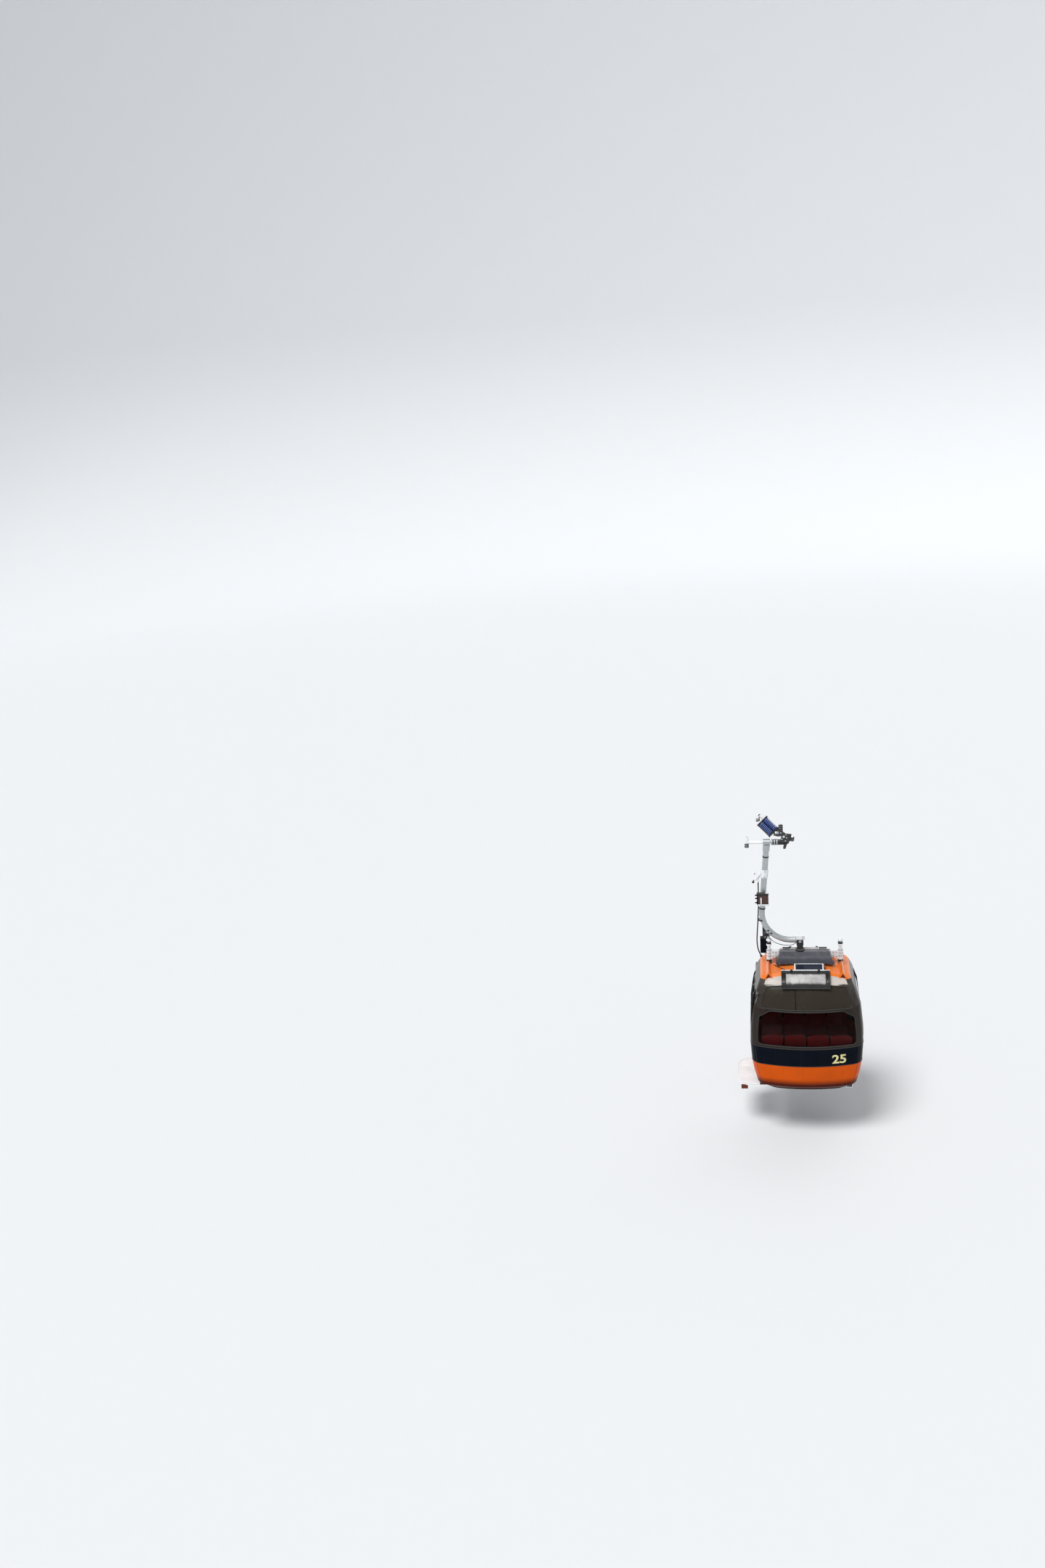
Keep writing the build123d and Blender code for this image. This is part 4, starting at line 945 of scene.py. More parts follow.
class CABIN_OT_leaf_seals(bpy.types.Operator):
    """Rubber round each leaf's glass and where the leaves meet"""
    bl_idname = "cabin.leaf_seals"
    bl_label = "Door leaf seals"

    def execute(self, context):
        radius = context.scene.cabin_sizes.seal * 0.7
        low, high = LEAF_LIGHT
        near, far = LEAF_GAP + LEAF_STILE, LEAF_GAP + LEAF_W - LEAF_STILE
        heights = [LEAF_Z[0]] + [row[0] for row in SECTIONS if LEAF_Z[0] < row[0] < LEAF_Z[1]] + [LEAF_Z[1]]
        for name, way in (("front", FRONT), ("back", BACK)):
            corners = [(near, low), (far, low), (far, high), (near, high)]
            opening = rounded([(y * way, z) for y, z in corners], LEAF_CORNER)
            bm = bmesh.new()
            line = [side_point(y, z, -LEAF_FACE - SUNK) for y, z in spread(opening, SIDE_STEP)]
            add_bead(bm, line, radius)
            for y in (LEAF_GAP + LEAF_EDGE_IN, LEAF_GAP + LEAF_W - LEAF_EDGE_IN):
                line = [side_point(y * way, z, -LEAF_FACE - 2 * SUNK) for z in heights]
                add_bead(bm, line, LEAF_EDGE_R, closed=False)
            finish_mesh(bm, f"{name}_leaf_seals", "rubber", body=f"{name}_door")
        return {"FINISHED"}


# The grip

COIL_SIDES, COIL_STEPS = 10, 22    # points round the wire, and steps in one turn of the coil
GUIDE_ROD_R, SPRING_CUP_R, SPRING_CUP = 0.026, 0.030, 0.010
NOSE_R, NOSE_ASIDE, NOSE_LENGTH = 0.0232, 0.038, 0.100
TIE_SLEEVE_R = 0.0135
NOSE_NUT_R, NOSE_NUT, NOSE_NUTS_ASIDE = 0.024, 0.010, (-0.012, 0.070)
GUARD_HALF, GUARD_Y, GUARD_WALL, GUARD_CLEAR = 0.098, 0.0535, 0.004, 0.002

PIN_AT, PIN_OUT = (-0.150, -0.006), 0.080
BODY_BOLTS, BODY_OUT = ((-0.100, -0.022), (-0.185, -0.045), (-0.120, -0.078)), 0.070
BODY_BANDS, BAND_Z, BAND_HALF, BAND_PROUD = (-0.362, -0.318, -0.274), -0.080, 0.010, 0.0045
LEVER_BOLTS, LEVER_OUT = ((-0.110, 0.040), (-0.200, 0.075)), 0.040
LUG_LOW, LUG_HIGH, LUG_OUT, LUG_HALF = (-0.305, 0.052), (-0.235, 0.100), 0.046, 0.008
LUG_BOLT = (-0.270, 0.076)
PLATE_BOLTS_ASIDE, PLATE_BOLTS_Y = (-0.080, 0.0, 0.080), (-0.045, 0.045)
GUIDE_NUT, UPRIGHT_NUT, END_NUT = (-0.808, 0, 0.008), (-0.200, 0.082, 0.254), (-0.568, 0, 0.328)
NIPPLES = ((Vector((-0.300, 0, -0.030)), Vector((0, 0, 1))),
           (Vector((-0.190, -0.050, -0.080)), Vector((0, -1, 0))))

NIPPLE = (
    # foot, top, radius, sides and end radius of its hexagon, neck and head
    (-SUNK, 0.006, 0.0062, 6, None),
    (0.005, 0.013, 0.0036, 12, None),
    (0.012, 0.016, 0.0042, 12, 0.0026),
)

ROLLERS = (
    # name, middle, axis, half width, radius, bore
    ("end_roller", Vector((-0.612, 0, 0.328)), Vector((1, 0, 0)), 0.022, 0.032, 0.0095),
    ("upright_roller", Vector((-0.200, 0.082, 0.178)), Vector((0, 0, 1)), 0.070, 0.038, 0.0105),
    ("guide_roller", Vector((-0.808, 0, -0.143)), Vector((0, 0, 1)), 0.029, 0.038, 0.0125),
)
HUB_IN, HUB_OUT, HUB_SHARE = 0.004, 0.0012, 0.62
TREAD_SHARES, TREAD_HALF, TREAD_PROUD = (-0.55, 0.0, 0.55), 0.0025, 0.0008


def pack_point(along, aside, y=0.0):
    """A point of the spring pack, before the grip is pitched."""
    return PACK_FOOT + PACK_AXIS * along + PACK_SIDE * aside + Vector((0, y, 0))


def grip_piece(bm, name, finish, body, smooth=35.0):
    """Pitches a mesh of the grip and turns it into a piece."""
    bmesh.ops.transform(bm, matrix=PITCH, verts=bm.verts)
    return finish_mesh(bm, name, finish, body=body, smooth=smooth)


def coil(bm, foot, turns):
    """One coil spring: a wire circle wound up its axis, with a closed turn at each end."""
    axis, side = PACK_AXIS, PACK_SIDE
    start = foot + side * COIL_R + axis * COIL_WIRE_R
    place = Matrix.Translation(start) @ Matrix((side, axis, side.cross(axis))).transposed().to_4x4()
    wire = bmesh.ops.create_circle(bm, cap_ends=True, segments=COIL_SIDES, radius=COIL_WIRE_R,
                                   matrix=place)["verts"]
    edges = list({edge for vert in wire for edge in vert.link_edges})
    last = wire + edges + list({face for vert in wire for face in vert.link_faces})
    closed = COIL_WIRE_R * 2
    rise = PACK_LENGTH - 3 * closed
    for count, climb in ((1, closed), (turns, rise), (1, closed)):
        steps = COIL_STEPS * count
        last = bmesh.ops.spin(bm, geom=last, cent=foot, axis=axis, dvec=axis * (climb / steps),
                              angle=math.tau * count, steps=steps, use_merge=False)["geom_last"]


class CABIN_OT_grip_springs(bpy.types.Operator):
    """The grip's two coil springs with their rods, sleeves and guard"""
    bl_idname = "cabin.grip_springs"
    bl_label = "Grip springs"

    def execute(self, context):
        turns = context.scene.cabin_sizes.coil_turns
        for name, aside in (("low", -COIL_OFFSET), ("high", COIL_OFFSET)):
            bm = bmesh.new()
            coil(bm, pack_point(0, aside), turns)
            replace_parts(grip_piece(bm, f"grip_coil_{name}", "spring_blue", "jaw", smooth=60), "grip_springs")
        bm = bmesh.new()
        for aside in (-COIL_OFFSET, COIL_OFFSET):
            add_rod(bm, pack_point(0, aside), pack_point(PACK_LENGTH, aside), GUIDE_ROD_R)
            for foot in (0, PACK_LENGTH - SPRING_CUP):
                add_rod(bm, pack_point(foot, aside), pack_point(foot + SPRING_CUP, aside), SPRING_CUP_R)
        grip_piece(bm, "grip_coil_rods", "black_cast", "jaw")
        bm = bmesh.new()
        seat = PACK_TOP - SUNK
        add_rod(bm, pack_point(seat, NOSE_ASIDE), pack_point(PACK_TOP + NOSE_LENGTH, NOSE_ASIDE), NOSE_R, 28)
        low, high = pack_point(SUNK, TIE_OFFSET), pack_point(PACK_LENGTH - SUNK, TIE_OFFSET)
        add_rod(bm, low, high, TIE_SLEEVE_R, 16)
        for aside in NOSE_NUTS_ASIDE:
            add_rod(bm, pack_point(seat, aside), pack_point(PACK_TOP + NOSE_NUT, aside), NOSE_NUT_R, 6)
        grip_piece(bm, "pack_sleeves", "white_cast", "jaw")
        bm = bmesh.new()
        low, high = GUARD_CLEAR, PACK_LENGTH - GUARD_CLEAR
        outline = ((low, -GUARD_HALF), (low, GUARD_HALF), (high, GUARD_HALF), (high, -GUARD_HALF))
        add_plate(bm, [pack_point(*corner, GUARD_Y) for corner in outline], (0, GUARD_WALL, 0))
        grip_piece(bm, "spring_guard", "black_cast", "jaw")
        return {"FINISHED"}


class CABIN_OT_grip_fittings(bpy.types.Operator):
    """Nuts, bolts, washers and grease nipples of the grip"""
    bl_idname = "cabin.grip_fittings"
    bl_label = "Grip fittings"

    def execute(self, context):
        size = context.scene.cabin_sizes.bolt
        bm = bmesh.new()
        for way in (FRONT, BACK):
            add_bolt(bm, (PIN_AT[0], PIN_OUT * way, PIN_AT[1]), (0, way, 0), size * 1.5)
            for x, z in BODY_BOLTS:
                add_bolt(bm, (x, BODY_OUT * way, z), (0, way, 0), size * 0.7)
        for seat, aim in NIPPLES:
            add_nipple(bm, seat, aim)
        add_bolt(bm, GUIDE_NUT, (0, 0, 1), size * 1.3)
        for x in BODY_BANDS:
            add_ring(bm, (x - BAND_HALF, 0, BAND_Z), (x + BAND_HALF, 0, BAND_Z),
                     BODY_TUBE_R + BAND_PROUD, BODY_TUBE_R - 2 * SUNK)
        grip_piece(bm, "grip_fasteners", "galvanised", "grip")
        bm = bmesh.new()
        for aside in (-TIE_OFFSET, TIE_OFFSET):
            add_bolt(bm, pack_point(PACK_TOP, aside), PACK_AXIS, size * 0.9)
            add_bolt(bm, pack_point(-PACK_PLATE, aside), -PACK_AXIS, size * 0.9)
        for aside in PLATE_BOLTS_ASIDE:
            for y in PLATE_BOLTS_Y:
                add_bolt(bm, pack_point(PACK_TOP, aside, y), PACK_AXIS, size * 0.6)
        for x, z in LEVER_BOLTS:
            for way in (FRONT, BACK):
                add_bolt(bm, (x, LEVER_OUT * way, z), (0, way, 0), size * 0.75)
        for way in (FRONT, BACK):
            middle = LUG_OUT * way
            add_box(bm, (LUG_LOW[0], middle - LUG_HALF, LUG_LOW[1]),
                    (LUG_HIGH[0], middle + LUG_HALF, LUG_HIGH[1]), 0.004)
            add_bolt(bm, (LUG_BOLT[0], (LUG_OUT + LUG_HALF) * way, LUG_BOLT[1]), (0, way, 0), size)
        add_bolt(bm, UPRIGHT_NUT, (0, 0, 1), size * 0.8)
        add_bolt(bm, END_NUT, (1, 0, 0), size * 0.8)
        grip_piece(bm, "jaw_fasteners", "galvanised", "jaw")
        return {"FINISHED"}


def add_nipple(bm, seat, aim):
    """A grease nipple standing on its seat."""
    for low, high, radius, sides, end_radius in NIPPLE:
        add_rod(bm, seat + aim * low, seat + aim * high, radius, sides, end_radius)


class CABIN_OT_roller_faces(bpy.types.Operator):
    """Hub discs and tread bands of the grip's three rollers"""
    bl_idname = "cabin.roller_faces"
    bl_label = "Roller hubs"

    def execute(self, context):
        for name, middle, axis, half, radius, bore in ROLLERS:
            bm = bmesh.new()
            for way in (-1, 1):
                face = middle + axis * (half * way)
                low, high = face - axis * (HUB_IN * way), face + axis * (HUB_OUT * way)
                add_ring(bm, low, high, radius * HUB_SHARE, bore)
            for share in TREAD_SHARES:
                seat = middle + axis * (half * share)
                low, high = seat - axis * TREAD_HALF, seat + axis * TREAD_HALF
                add_ring(bm, low, high, radius + TREAD_PROUD, radius - 2 * SUNK)
            grip_piece(bm, f"{name}_hub", "steel", name)
        return {"FINISHED"}


# The hanger

CLAMP_BOLTS_Z, CLAMP_OUT = (-0.610, -0.715), 0.063
HEAD_BOLTS_X, HEAD_BOLTS_Z, HEAD_OUT = (0.030, 0.165), (-1.872, -1.906), 0.072
STRAP_HALF, STRAP_EAR_OUT, STRAP_EAR = 0.038, 0.070, (0.030, 0.022, 0.034)
COLUMN_PIN_Z, COLUMN_PIN_R, COLUMN_PIN_OUT = -1.960, 0.024, (0.060, 0.076)
LATCH_ELBOW, LATCH_END = (-0.652, HANG_Y, -0.768), (-0.698, HANG_Y, -0.818)
# Radius, sides and end radius of the latch arm's two lengths
LATCH_THICK, LATCH_THIN = (0.026, 28, 0.017), (0.016, 24, 0.0105)
LATCH_KNOB, LATCH_KNOB_R = (-0.708, HANG_Y, -0.828), 0.0225
LATCH_CAPS = (((-0.700, HANG_Y, -0.806), (-0.694, HANG_Y, -0.790), 0.012),
              ((-0.684, HANG_Y, -0.668), (-0.672, HANG_Y, -0.668), 0.013))
COUNTER_BOLTS = ((-0.515, HANG_Y + 0.060, -1.740), (-0.515, HANG_Y + 0.060, -1.920))
TUBE_BANDS = ((-1.318, -1.342, 0.0565), (-1.548, -1.572, 0.0565), (-0.330, -0.352, 0.0560))
TUBE_BAND_BORE = 0.0515

# The control box's glands: how far in they stand, and start, end and radius of their two steps
GLAND_IN, GLAND_STEPS = 0.030, ((0.002, -0.020, 0.015), (-0.018, -0.034, 0.011))


def tube_at(z):
    """X of the hanger's upright at a height."""
    return TUBE_TOP.x + (TUBE_KNEE.x - TUBE_TOP.x) * (z - TUBE_TOP.z) / (TUBE_KNEE.z - TUBE_TOP.z)


LATCH_FOOT = (tube_at(-0.625) - 0.050, HANG_Y - 0.006, -0.618)


def tube_point(z):
    """A point of the upright's middle line."""
    return Vector((tube_at(z), HANG_Y, z))


class CABIN_OT_door_cable(bpy.types.Operator):
    """The door cable, from the latch lever to the roof's rear edge, and the arm's wire"""
    bl_idname = "cabin.door_cable"
    bl_label = "Door cable"

    def execute(self, context):
        cable = route_curve("door_cable_sheath", CABLE_ROUTE, 0.011)
        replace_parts(cable, "door_cable")
        wire = route_curve("arm_wire", ARM_WIRE_ROUTE, 0.0055)
        return {"FINISHED"}


def route_curve(name, route, radius):
    """A smooth round cord along a few route points."""
    curve = bpy.data.curves.new(name, "CURVE")
    curve.dimensions = "3D"
    line = curve.splines.new("NURBS")
    line.points.add(len(route) - 1)
    for point, place in zip(line.points, route):
        point.co = (*place, 1.0)
    line.order_u = 3
    line.use_endpoint_u = True
    line.resolution_u = 10
    curve.bevel_depth = radius
    curve.bevel_resolution = 5
    curve.use_fill_caps = True
    curve.materials.append(FINISHES["cable_black"])
    cord = add_object(name, curve)
    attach(cord, "carriage")
    return cord


class CABIN_OT_hanger_fittings(bpy.types.Operator):
    """Bolts, clips and the latch arm of the hanger"""
    bl_idname = "cabin.hanger_fittings"
    bl_label = "Hanger fittings"

    def execute(self, context):
        size = context.scene.cabin_sizes.bolt
        bm = bmesh.new()
        for z in CLAMP_BOLTS_Z:
            for way in (FRONT, BACK):
                add_bolt(bm, tube_point(z) + Vector((0, CLAMP_OUT * way, 0)), (0, way, 0), size * 0.8)
        for x in HEAD_BOLTS_X:
            for z in HEAD_BOLTS_Z:
                for way in (FRONT, BACK):
                    add_bolt(bm, (x, HANG_Y + HEAD_OUT * way, z), (0, way, 0), size * 0.6)
        for seat in COUNTER_BOLTS:
            add_bolt(bm, seat, (0, -1, 0), size * 0.8)
        for way in (-1, 1):
            for side in (-1, 1):
                ear = STRAP_MID + STRAP_AIM * (STRAP_HALF * way) + Vector((0, STRAP_EAR_OUT * side, 0))
                add_block(bm, ear, STRAP_EAR, STRAP_AIM)
                add_bolt(bm, ear + STRAP_UP * (STRAP_EAR[2] / 2), STRAP_UP, size * 0.7)
        for way in (FRONT, BACK):
            low, high = (Vector((COLUMN_X, HANG_Y + out * way, COLUMN_PIN_Z)) for out in COLUMN_PIN_OUT)
            add_rod(bm, low, high, COLUMN_PIN_R, 28)
            add_bolt(bm, high, (0, way, 0), size)
        finish_mesh(bm, "hanger_fasteners", "galvanised")
        bm = bmesh.new()
        add_rod(bm, LATCH_FOOT, LATCH_ELBOW, *LATCH_THICK)
        add_rod(bm, LATCH_ELBOW, LATCH_END, *LATCH_THIN)
        finish_mesh(bm, "latch_arm", "white_cast")
        bm = bmesh.new()
        bmesh.ops.create_uvsphere(bm, u_segments=24, v_segments=14, radius=LATCH_KNOB_R,
                                  matrix=Matrix.Translation(LATCH_KNOB))
        for start, end, radius in LATCH_CAPS:
            add_rod(bm, start, end, radius)
        for high, low, radius in TUBE_BANDS:
            add_ring(bm, tube_point(high), tube_point(low), radius, TUBE_BAND_BORE)
        finish_mesh(bm, "hanger_rubbers", "rubber")
        return {"FINISHED"}


class CABIN_OT_control_box(bpy.types.Operator):
    """Cover, angle and glands of the control box"""
    bl_idname = "cabin.control_box"
    bl_label = "Control box"

    def execute(self, context):
        low, high = (Vector(corner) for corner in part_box("control_box"))
        bm = bmesh.new()
        lid_end = (high.x - 0.004, low.y + 0.004, high.z - 0.012)
        add_box(bm, low + Vector((0.020, -0.006, 0.024)), lid_end, 0.004)
        finish_mesh(bm, "control_box_lid", "lid")
        bm = bmesh.new()
        foot_end = (high.x + 0.010, low.y + 0.030, low.z + 0.018)
        upright_end = (low.x + 0.086, low.y - 0.004, high.z - 0.070)
        lip = (high.x - 0.050, low.y + 0.004, high.z)
        lip_end = (high.x + 0.012, low.y + 0.034, high.z + 0.020)
        add_box(bm, low + Vector((0.010, -0.012, -0.008)), foot_end, 0.003)
        add_box(bm, low + Vector((0.062, -0.013, 0.012)), upright_end, 0.003)
        add_box(bm, lip, lip_end, 0.003)
        finish_mesh(bm, "control_box_angle", "white_cast")
        bm = bmesh.new()
        for z in (low.z + 0.040, low.z + 0.120, high.z - 0.035):
            for start, end, radius in GLAND_STEPS:
                y = low.y + GLAND_IN
                add_rod(bm, (low.x + start, y, z), (low.x + end, y, z), radius, 16)
        cap = (low.x - 0.004, low.y - 0.010, high.z - 0.026)
        add_box(bm, cap, high + Vector((0.004, 0.002, 0.004)), 0.003)
        finish_mesh(bm, "control_box_glands", "rubber")
        return {"FINISHED"}


# The roof

HOOD_HALF, HOOD_LIP_R = 0.432, 0.012
HOOD_EDGE_HALF, HOOD_EDGE_R, HOOD_EDGE_IN = 0.430, 0.009, 0.004
HOOD_KNOBS_X, HOOD_KNOB = (-0.250, 0.235), ((0.006, 0.030), (0.006, 0.028), (0.007, 0.040))
KNOB_PAST, KNOB_BELOW, KNOB_FOOT_R, KNOB_NECK_R, KNOB_HEAD_R = 0.022, 0.012, 0.017, 0.014, 0.022
RAIL_SLEEVES_X, RAIL_SLEEVE, RAIL_AT = (-0.325, 0.330), 0.140, (0.070, 2.412)
RAIL_SLEEVE_R, RAIL_SLEEVE_BORE = 0.0135, 0.0082
HATCH_CLIPS_X, HATCH_CLIP_LOW, HATCH_CLIP_HIGH = (-0.140, 0.270), (-0.256, 2.236), (-0.226, 2.246)
HATCH_CLIP_HALF = 0.030
HATCH_HINGE = ((0.328, -0.480, 2.205), (0.352, -0.275, 2.252))
COVER_BOLTS, COVER_BOLT_FIRST, COVER_BOLT_STEP, COVER_FLANGE = 9, -0.46, 0.115, (0.240, 2.2215)
BRACKET_BOLTS, BRACKET_OUT = ((0.515, 2.300), (0.515, 2.362), (0.568, 2.286), (0.568, 2.366)), 0.032
RAIL_FEET_X, RAIL_BOLTS, RAIL_BOLTS_APART = (-0.330, 0.330), (0.050, 2.400), (-0.030, 0.030)
COLLAR_BOLTS, COLLAR_BOLT_R = 8, 0.069
COLLARS, COLLAR_BORE = ((2.398, COLLAR_Z, 0.082), (2.500, 2.528, 0.064)), 0.0555
ROOF_LEAD = ((-0.560, -0.100, 2.156), (-0.530, -0.160, 2.158), (-0.490, -0.230, 2.165),
             (-0.410, -0.340, 2.177), (-0.330, -0.445, 2.187), (-0.300, -0.500, 2.188))
LEAD_R, LEAD_CLIP = 0.006, ((-0.012, -0.006, -0.012), (0.012, 0.006, 0.008))
# Outline of the dark plates of painted shade in the ridges' open ends.
RIDGE_END = ((0.616, 2.050), (0.616, 2.107), (0.655, 2.174), (0.694, 2.107), (0.694, 2.050))
RIDGE_END_Y, RIDGE_END_WALL = 0.552, 0.006


class CABIN_OT_hood_fittings(bpy.types.Operator):
    """Rims and knobs of the hoods, white beads of painted highlight along their back edges, with the rubbers
    of the rail and the hatch
    """
    bl_idname = "cabin.hood_fittings"
    bl_label = "Hood fittings"

    def execute(self, context):
        bm = bmesh.new()
        for way in (FRONT, BACK):
            lip = [at(x, HOOD_LIP[0] * way, HOOD_LIP[1]) for x in (-HOOD_HALF, HOOD_HALF)]
            add_bead(bm, lip, HOOD_LIP_R, closed=False)
            for x in HOOD_KNOBS_X:
                seat = at(x, (HOOD_BACK[0] + KNOB_PAST) * way, HOOD_BACK[1] - KNOB_BELOW)
                neck, head, top = (seat + Vector((0, y * way, z)) for y, z in HOOD_KNOB)
                add_rod(bm, seat, neck, KNOB_FOOT_R, end_radius=KNOB_NECK_R)
                add_rod(bm, head, top, KNOB_HEAD_R)
        for x in RAIL_SLEEVES_X:
            start = at(x - RAIL_SLEEVE / 2, *RAIL_AT)
            add_ring(bm, start, start + Vector((RAIL_SLEEVE, 0, 0)), RAIL_SLEEVE_R, RAIL_SLEEVE_BORE)
        for x in HATCH_CLIPS_X:
            low, high = at(x - HATCH_CLIP_HALF, *HATCH_CLIP_LOW), at(x + HATCH_CLIP_HALF, *HATCH_CLIP_HIGH)
            add_box(bm, low, high, 0.003)
        finish_mesh(bm, "roof_rubbers", "rubber")
        # The white beads along the hoods' back edges are painted highlight.
        bm = bmesh.new()
        for way in (FRONT, BACK):
            edge = [at(x, (HOOD_BACK[0] - HOOD_EDGE_IN) * way, HOOD_BACK[1] + HOOD_EDGE_IN)
                    for x in (-HOOD_EDGE_HALF, HOOD_EDGE_HALF)]
            add_bead(bm, edge, HOOD_EDGE_R, closed=False)
        finish_mesh(bm, "hood_edge_highlights", "board_white")
        return {"FINISHED"}


class CABIN_OT_roof_fittings(bpy.types.Operator):
    """The hatch hinge, bolts, collars and lead on the roof, and dark plates of painted shade in the ridges'
    open ends
    """
    bl_idname = "cabin.roof_fittings"
    bl_label = "Roof fittings"

    def execute(self, context):
        size = context.scene.cabin_sizes.bolt
        bm = bmesh.new()
        add_box(bm, at(*HATCH_HINGE[0]), at(*HATCH_HINGE[1]), 0.004)
        finish_mesh(bm, "hatch_hinge", "ridge_end")
        bm = bmesh.new()
        for k in range(COVER_BOLTS):
            for way in (FRONT, BACK):
                seat = at(COVER_BOLT_FIRST + COVER_BOLT_STEP * k, COVER_FLANGE[0] * way, COVER_FLANGE[1])
                add_bolt(bm, seat, (0, way, 0), size * 0.42)
        for side in (LEFT, RIGHT):
            for way in (FRONT, BACK):
                for x, z in BRACKET_BOLTS:
                    add_bolt(bm, at(x * side, BRACKET_OUT * way, z), (0, way, 0), size * 0.7)
        for x in RAIL_FEET_X:
            for apart in RAIL_BOLTS_APART:
                add_bolt(bm, at(x + apart, *RAIL_BOLTS), (0, -1, 0), size * 0.45)
        for k in range(COLLAR_BOLTS):
            angle = math.tau * k / COLLAR_BOLTS
            out = Vector((math.cos(angle), math.sin(angle), 0)) * COLLAR_BOLT_R
            add_bolt(bm, Vector((COLUMN_X, CABIN.y, CABIN.z + COLLAR_Z)) + out, (0, 0, 1), size * 0.5)
        finish_mesh(bm, "roof_fasteners", "galvanised")
        bm = bmesh.new()
        for low, high, radius in COLLARS:
            start, end = (Vector((COLUMN_X, CABIN.y, CABIN.z + z)) for z in (low, high))
            add_ring(bm, start, end, radius, COLLAR_BORE)
        finish_mesh(bm, "column_collar", "black_cast")
        bm = bmesh.new()
        lead = [at(*point) for point in ROOF_LEAD]
        add_bead(bm, lead, LEAD_R, closed=False)
        for point in (lead[1], lead[3]):
            add_box(bm, point + Vector(LEAD_CLIP[0]), point + Vector(LEAD_CLIP[1]), 0.002)
        finish_mesh(bm, "roof_lead", "cable_black")
        # Dark plates of painted shade in the ridges' open ends.
        bm = bmesh.new()
        for side in (LEFT, RIGHT):
            for way in (FRONT, BACK):
                outline = [at(x * side, RIDGE_END_Y * way, z) for x, z in RIDGE_END]
                add_plate(bm, outline, (0, -RIDGE_END_WALL * way, 0))
        finish_mesh(bm, "ridge_end_shades", "ridge_end")
        return {"FINISHED"}


BELLOWS_FOLDS, BELLOWS_WALL = 6, 0.002
BELLOWS_OUT_R, BELLOWS_IN_R, BELLOWS_FOOT_R = 0.046, 0.0385, 0.0365
POST_RINGS, POST_BORE = ((2.223, 2.232, 0.0500), (2.398, 2.409, 0.0500), (2.410, 2.420, 0.0365)), 0.0295
POST_BANDS, POST_BAND, POST_BAND_R, POST_BAND_BORE = (2.290, 2.345), 0.014, 0.0485, 0.0455
POST_BOLT_AT = (0.010, -0.048)


class CABIN_OT_post_fittings(bpy.types.Operator):
    """Bellows, flange rings and bolts of the two sprung posts"""
    bl_idname = "cabin.post_fittings"
    bl_label = "Post fittings"

    def execute(self, context):
        size = context.scene.cabin_sizes.bolt
        low, high = BELLOWS_Z
        step = (high - low) / BELLOWS_FOLDS
        line = [(BELLOWS_FOOT_R, low)]
        for k in range(BELLOWS_FOLDS):
            line += [(BELLOWS_OUT_R, low + (k + 0.5) * step), (BELLOWS_IN_R, low + (k + 1) * step)]
        for name, side in (("left", LEFT), ("right", RIGHT)):
            middle = at(POST_X * side, 0, 0)
            bm = bmesh.new()
            verts, edges = add_line(bm, [middle + Vector((r, 0, z)) for r, z in line])
            bmesh.ops.spin(bm, geom=verts + edges, cent=middle, axis=(0, 0, 1), angle=math.tau, steps=32,
                           use_merge=True)
            bmesh.ops.remove_doubles(bm, verts=bm.verts, dist=0.0001)
            bellows = finish_mesh(bm, f"post_bellows_{name}", "bellows", smooth=80)
            wall = bellows.modifiers.new("Wall", "SOLIDIFY")
            wall.thickness, wall.offset = BELLOWS_WALL, -1
            bm = bmesh.new()
            for start, end, radius in POST_RINGS:
                add_ring(bm, middle + Vector((0, 0, start)), middle + Vector((0, 0, end)), radius, POST_BORE)
            for z in POST_BANDS:
                start, end = middle + Vector((0, 0, z)), middle + Vector((0, 0, z + POST_BAND))
                add_ring(bm, start, end, POST_BAND_R, POST_BAND_BORE)
                seat = middle + Vector((POST_BOLT_AT[0] * side, POST_BOLT_AT[1], z + POST_BAND / 2))
                add_bolt(bm, seat, (0, -1, 0), size * 0.5)
            finish_mesh(bm, f"post_rings_{name}", "galvanised")
        return {"FINISHED"}


# Inside and below

SEATS_PER_ROW, SEAT_PITCH, SEAT_HALF, SEAT_CELLS = 4, 0.405, 0.190, 8
SEAT_LINE = ((-0.862, 0.470), (-0.868, 0.620), (-0.884, 0.860), (-0.903, 1.124), (-0.876, 1.126),
             (-0.856, 0.980), (-0.838, 0.720), (-0.824, 0.530), (-0.800, 0.514), (-0.640, 0.506),
             (-0.470, 0.502), (-0.436, 0.494), (-0.432, 0.474), (-0.470, 0.457), (-0.840, 0.457))
SEAT_CREST, SEAT_TOP, SEAT_BACK_LOW, SEAT_BACK_FACE = 1.10, 0.50, 0.53, 0.860
SEAT_SHOULDER, SEAT_DISH = 0.050, 0.012


class CABIN_OT_seat_shells(bpy.types.Operator):
    """Moulded shells of the eight seats"""
    bl_idname = "cabin.seat_shells"
    bl_label = "Seat shells"

    def execute(self, context):
        bm = bmesh.new()
        for way in (FRONT, BACK):
            for place in range(SEATS_PER_ROW):
                add_seat(bm, (place - (SEATS_PER_ROW - 1) / 2) * SEAT_PITCH, way)
        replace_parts(finish_mesh(bm, "seat_shells", "seat_red", smooth=50), "seats")
        return {"FINISHED"}


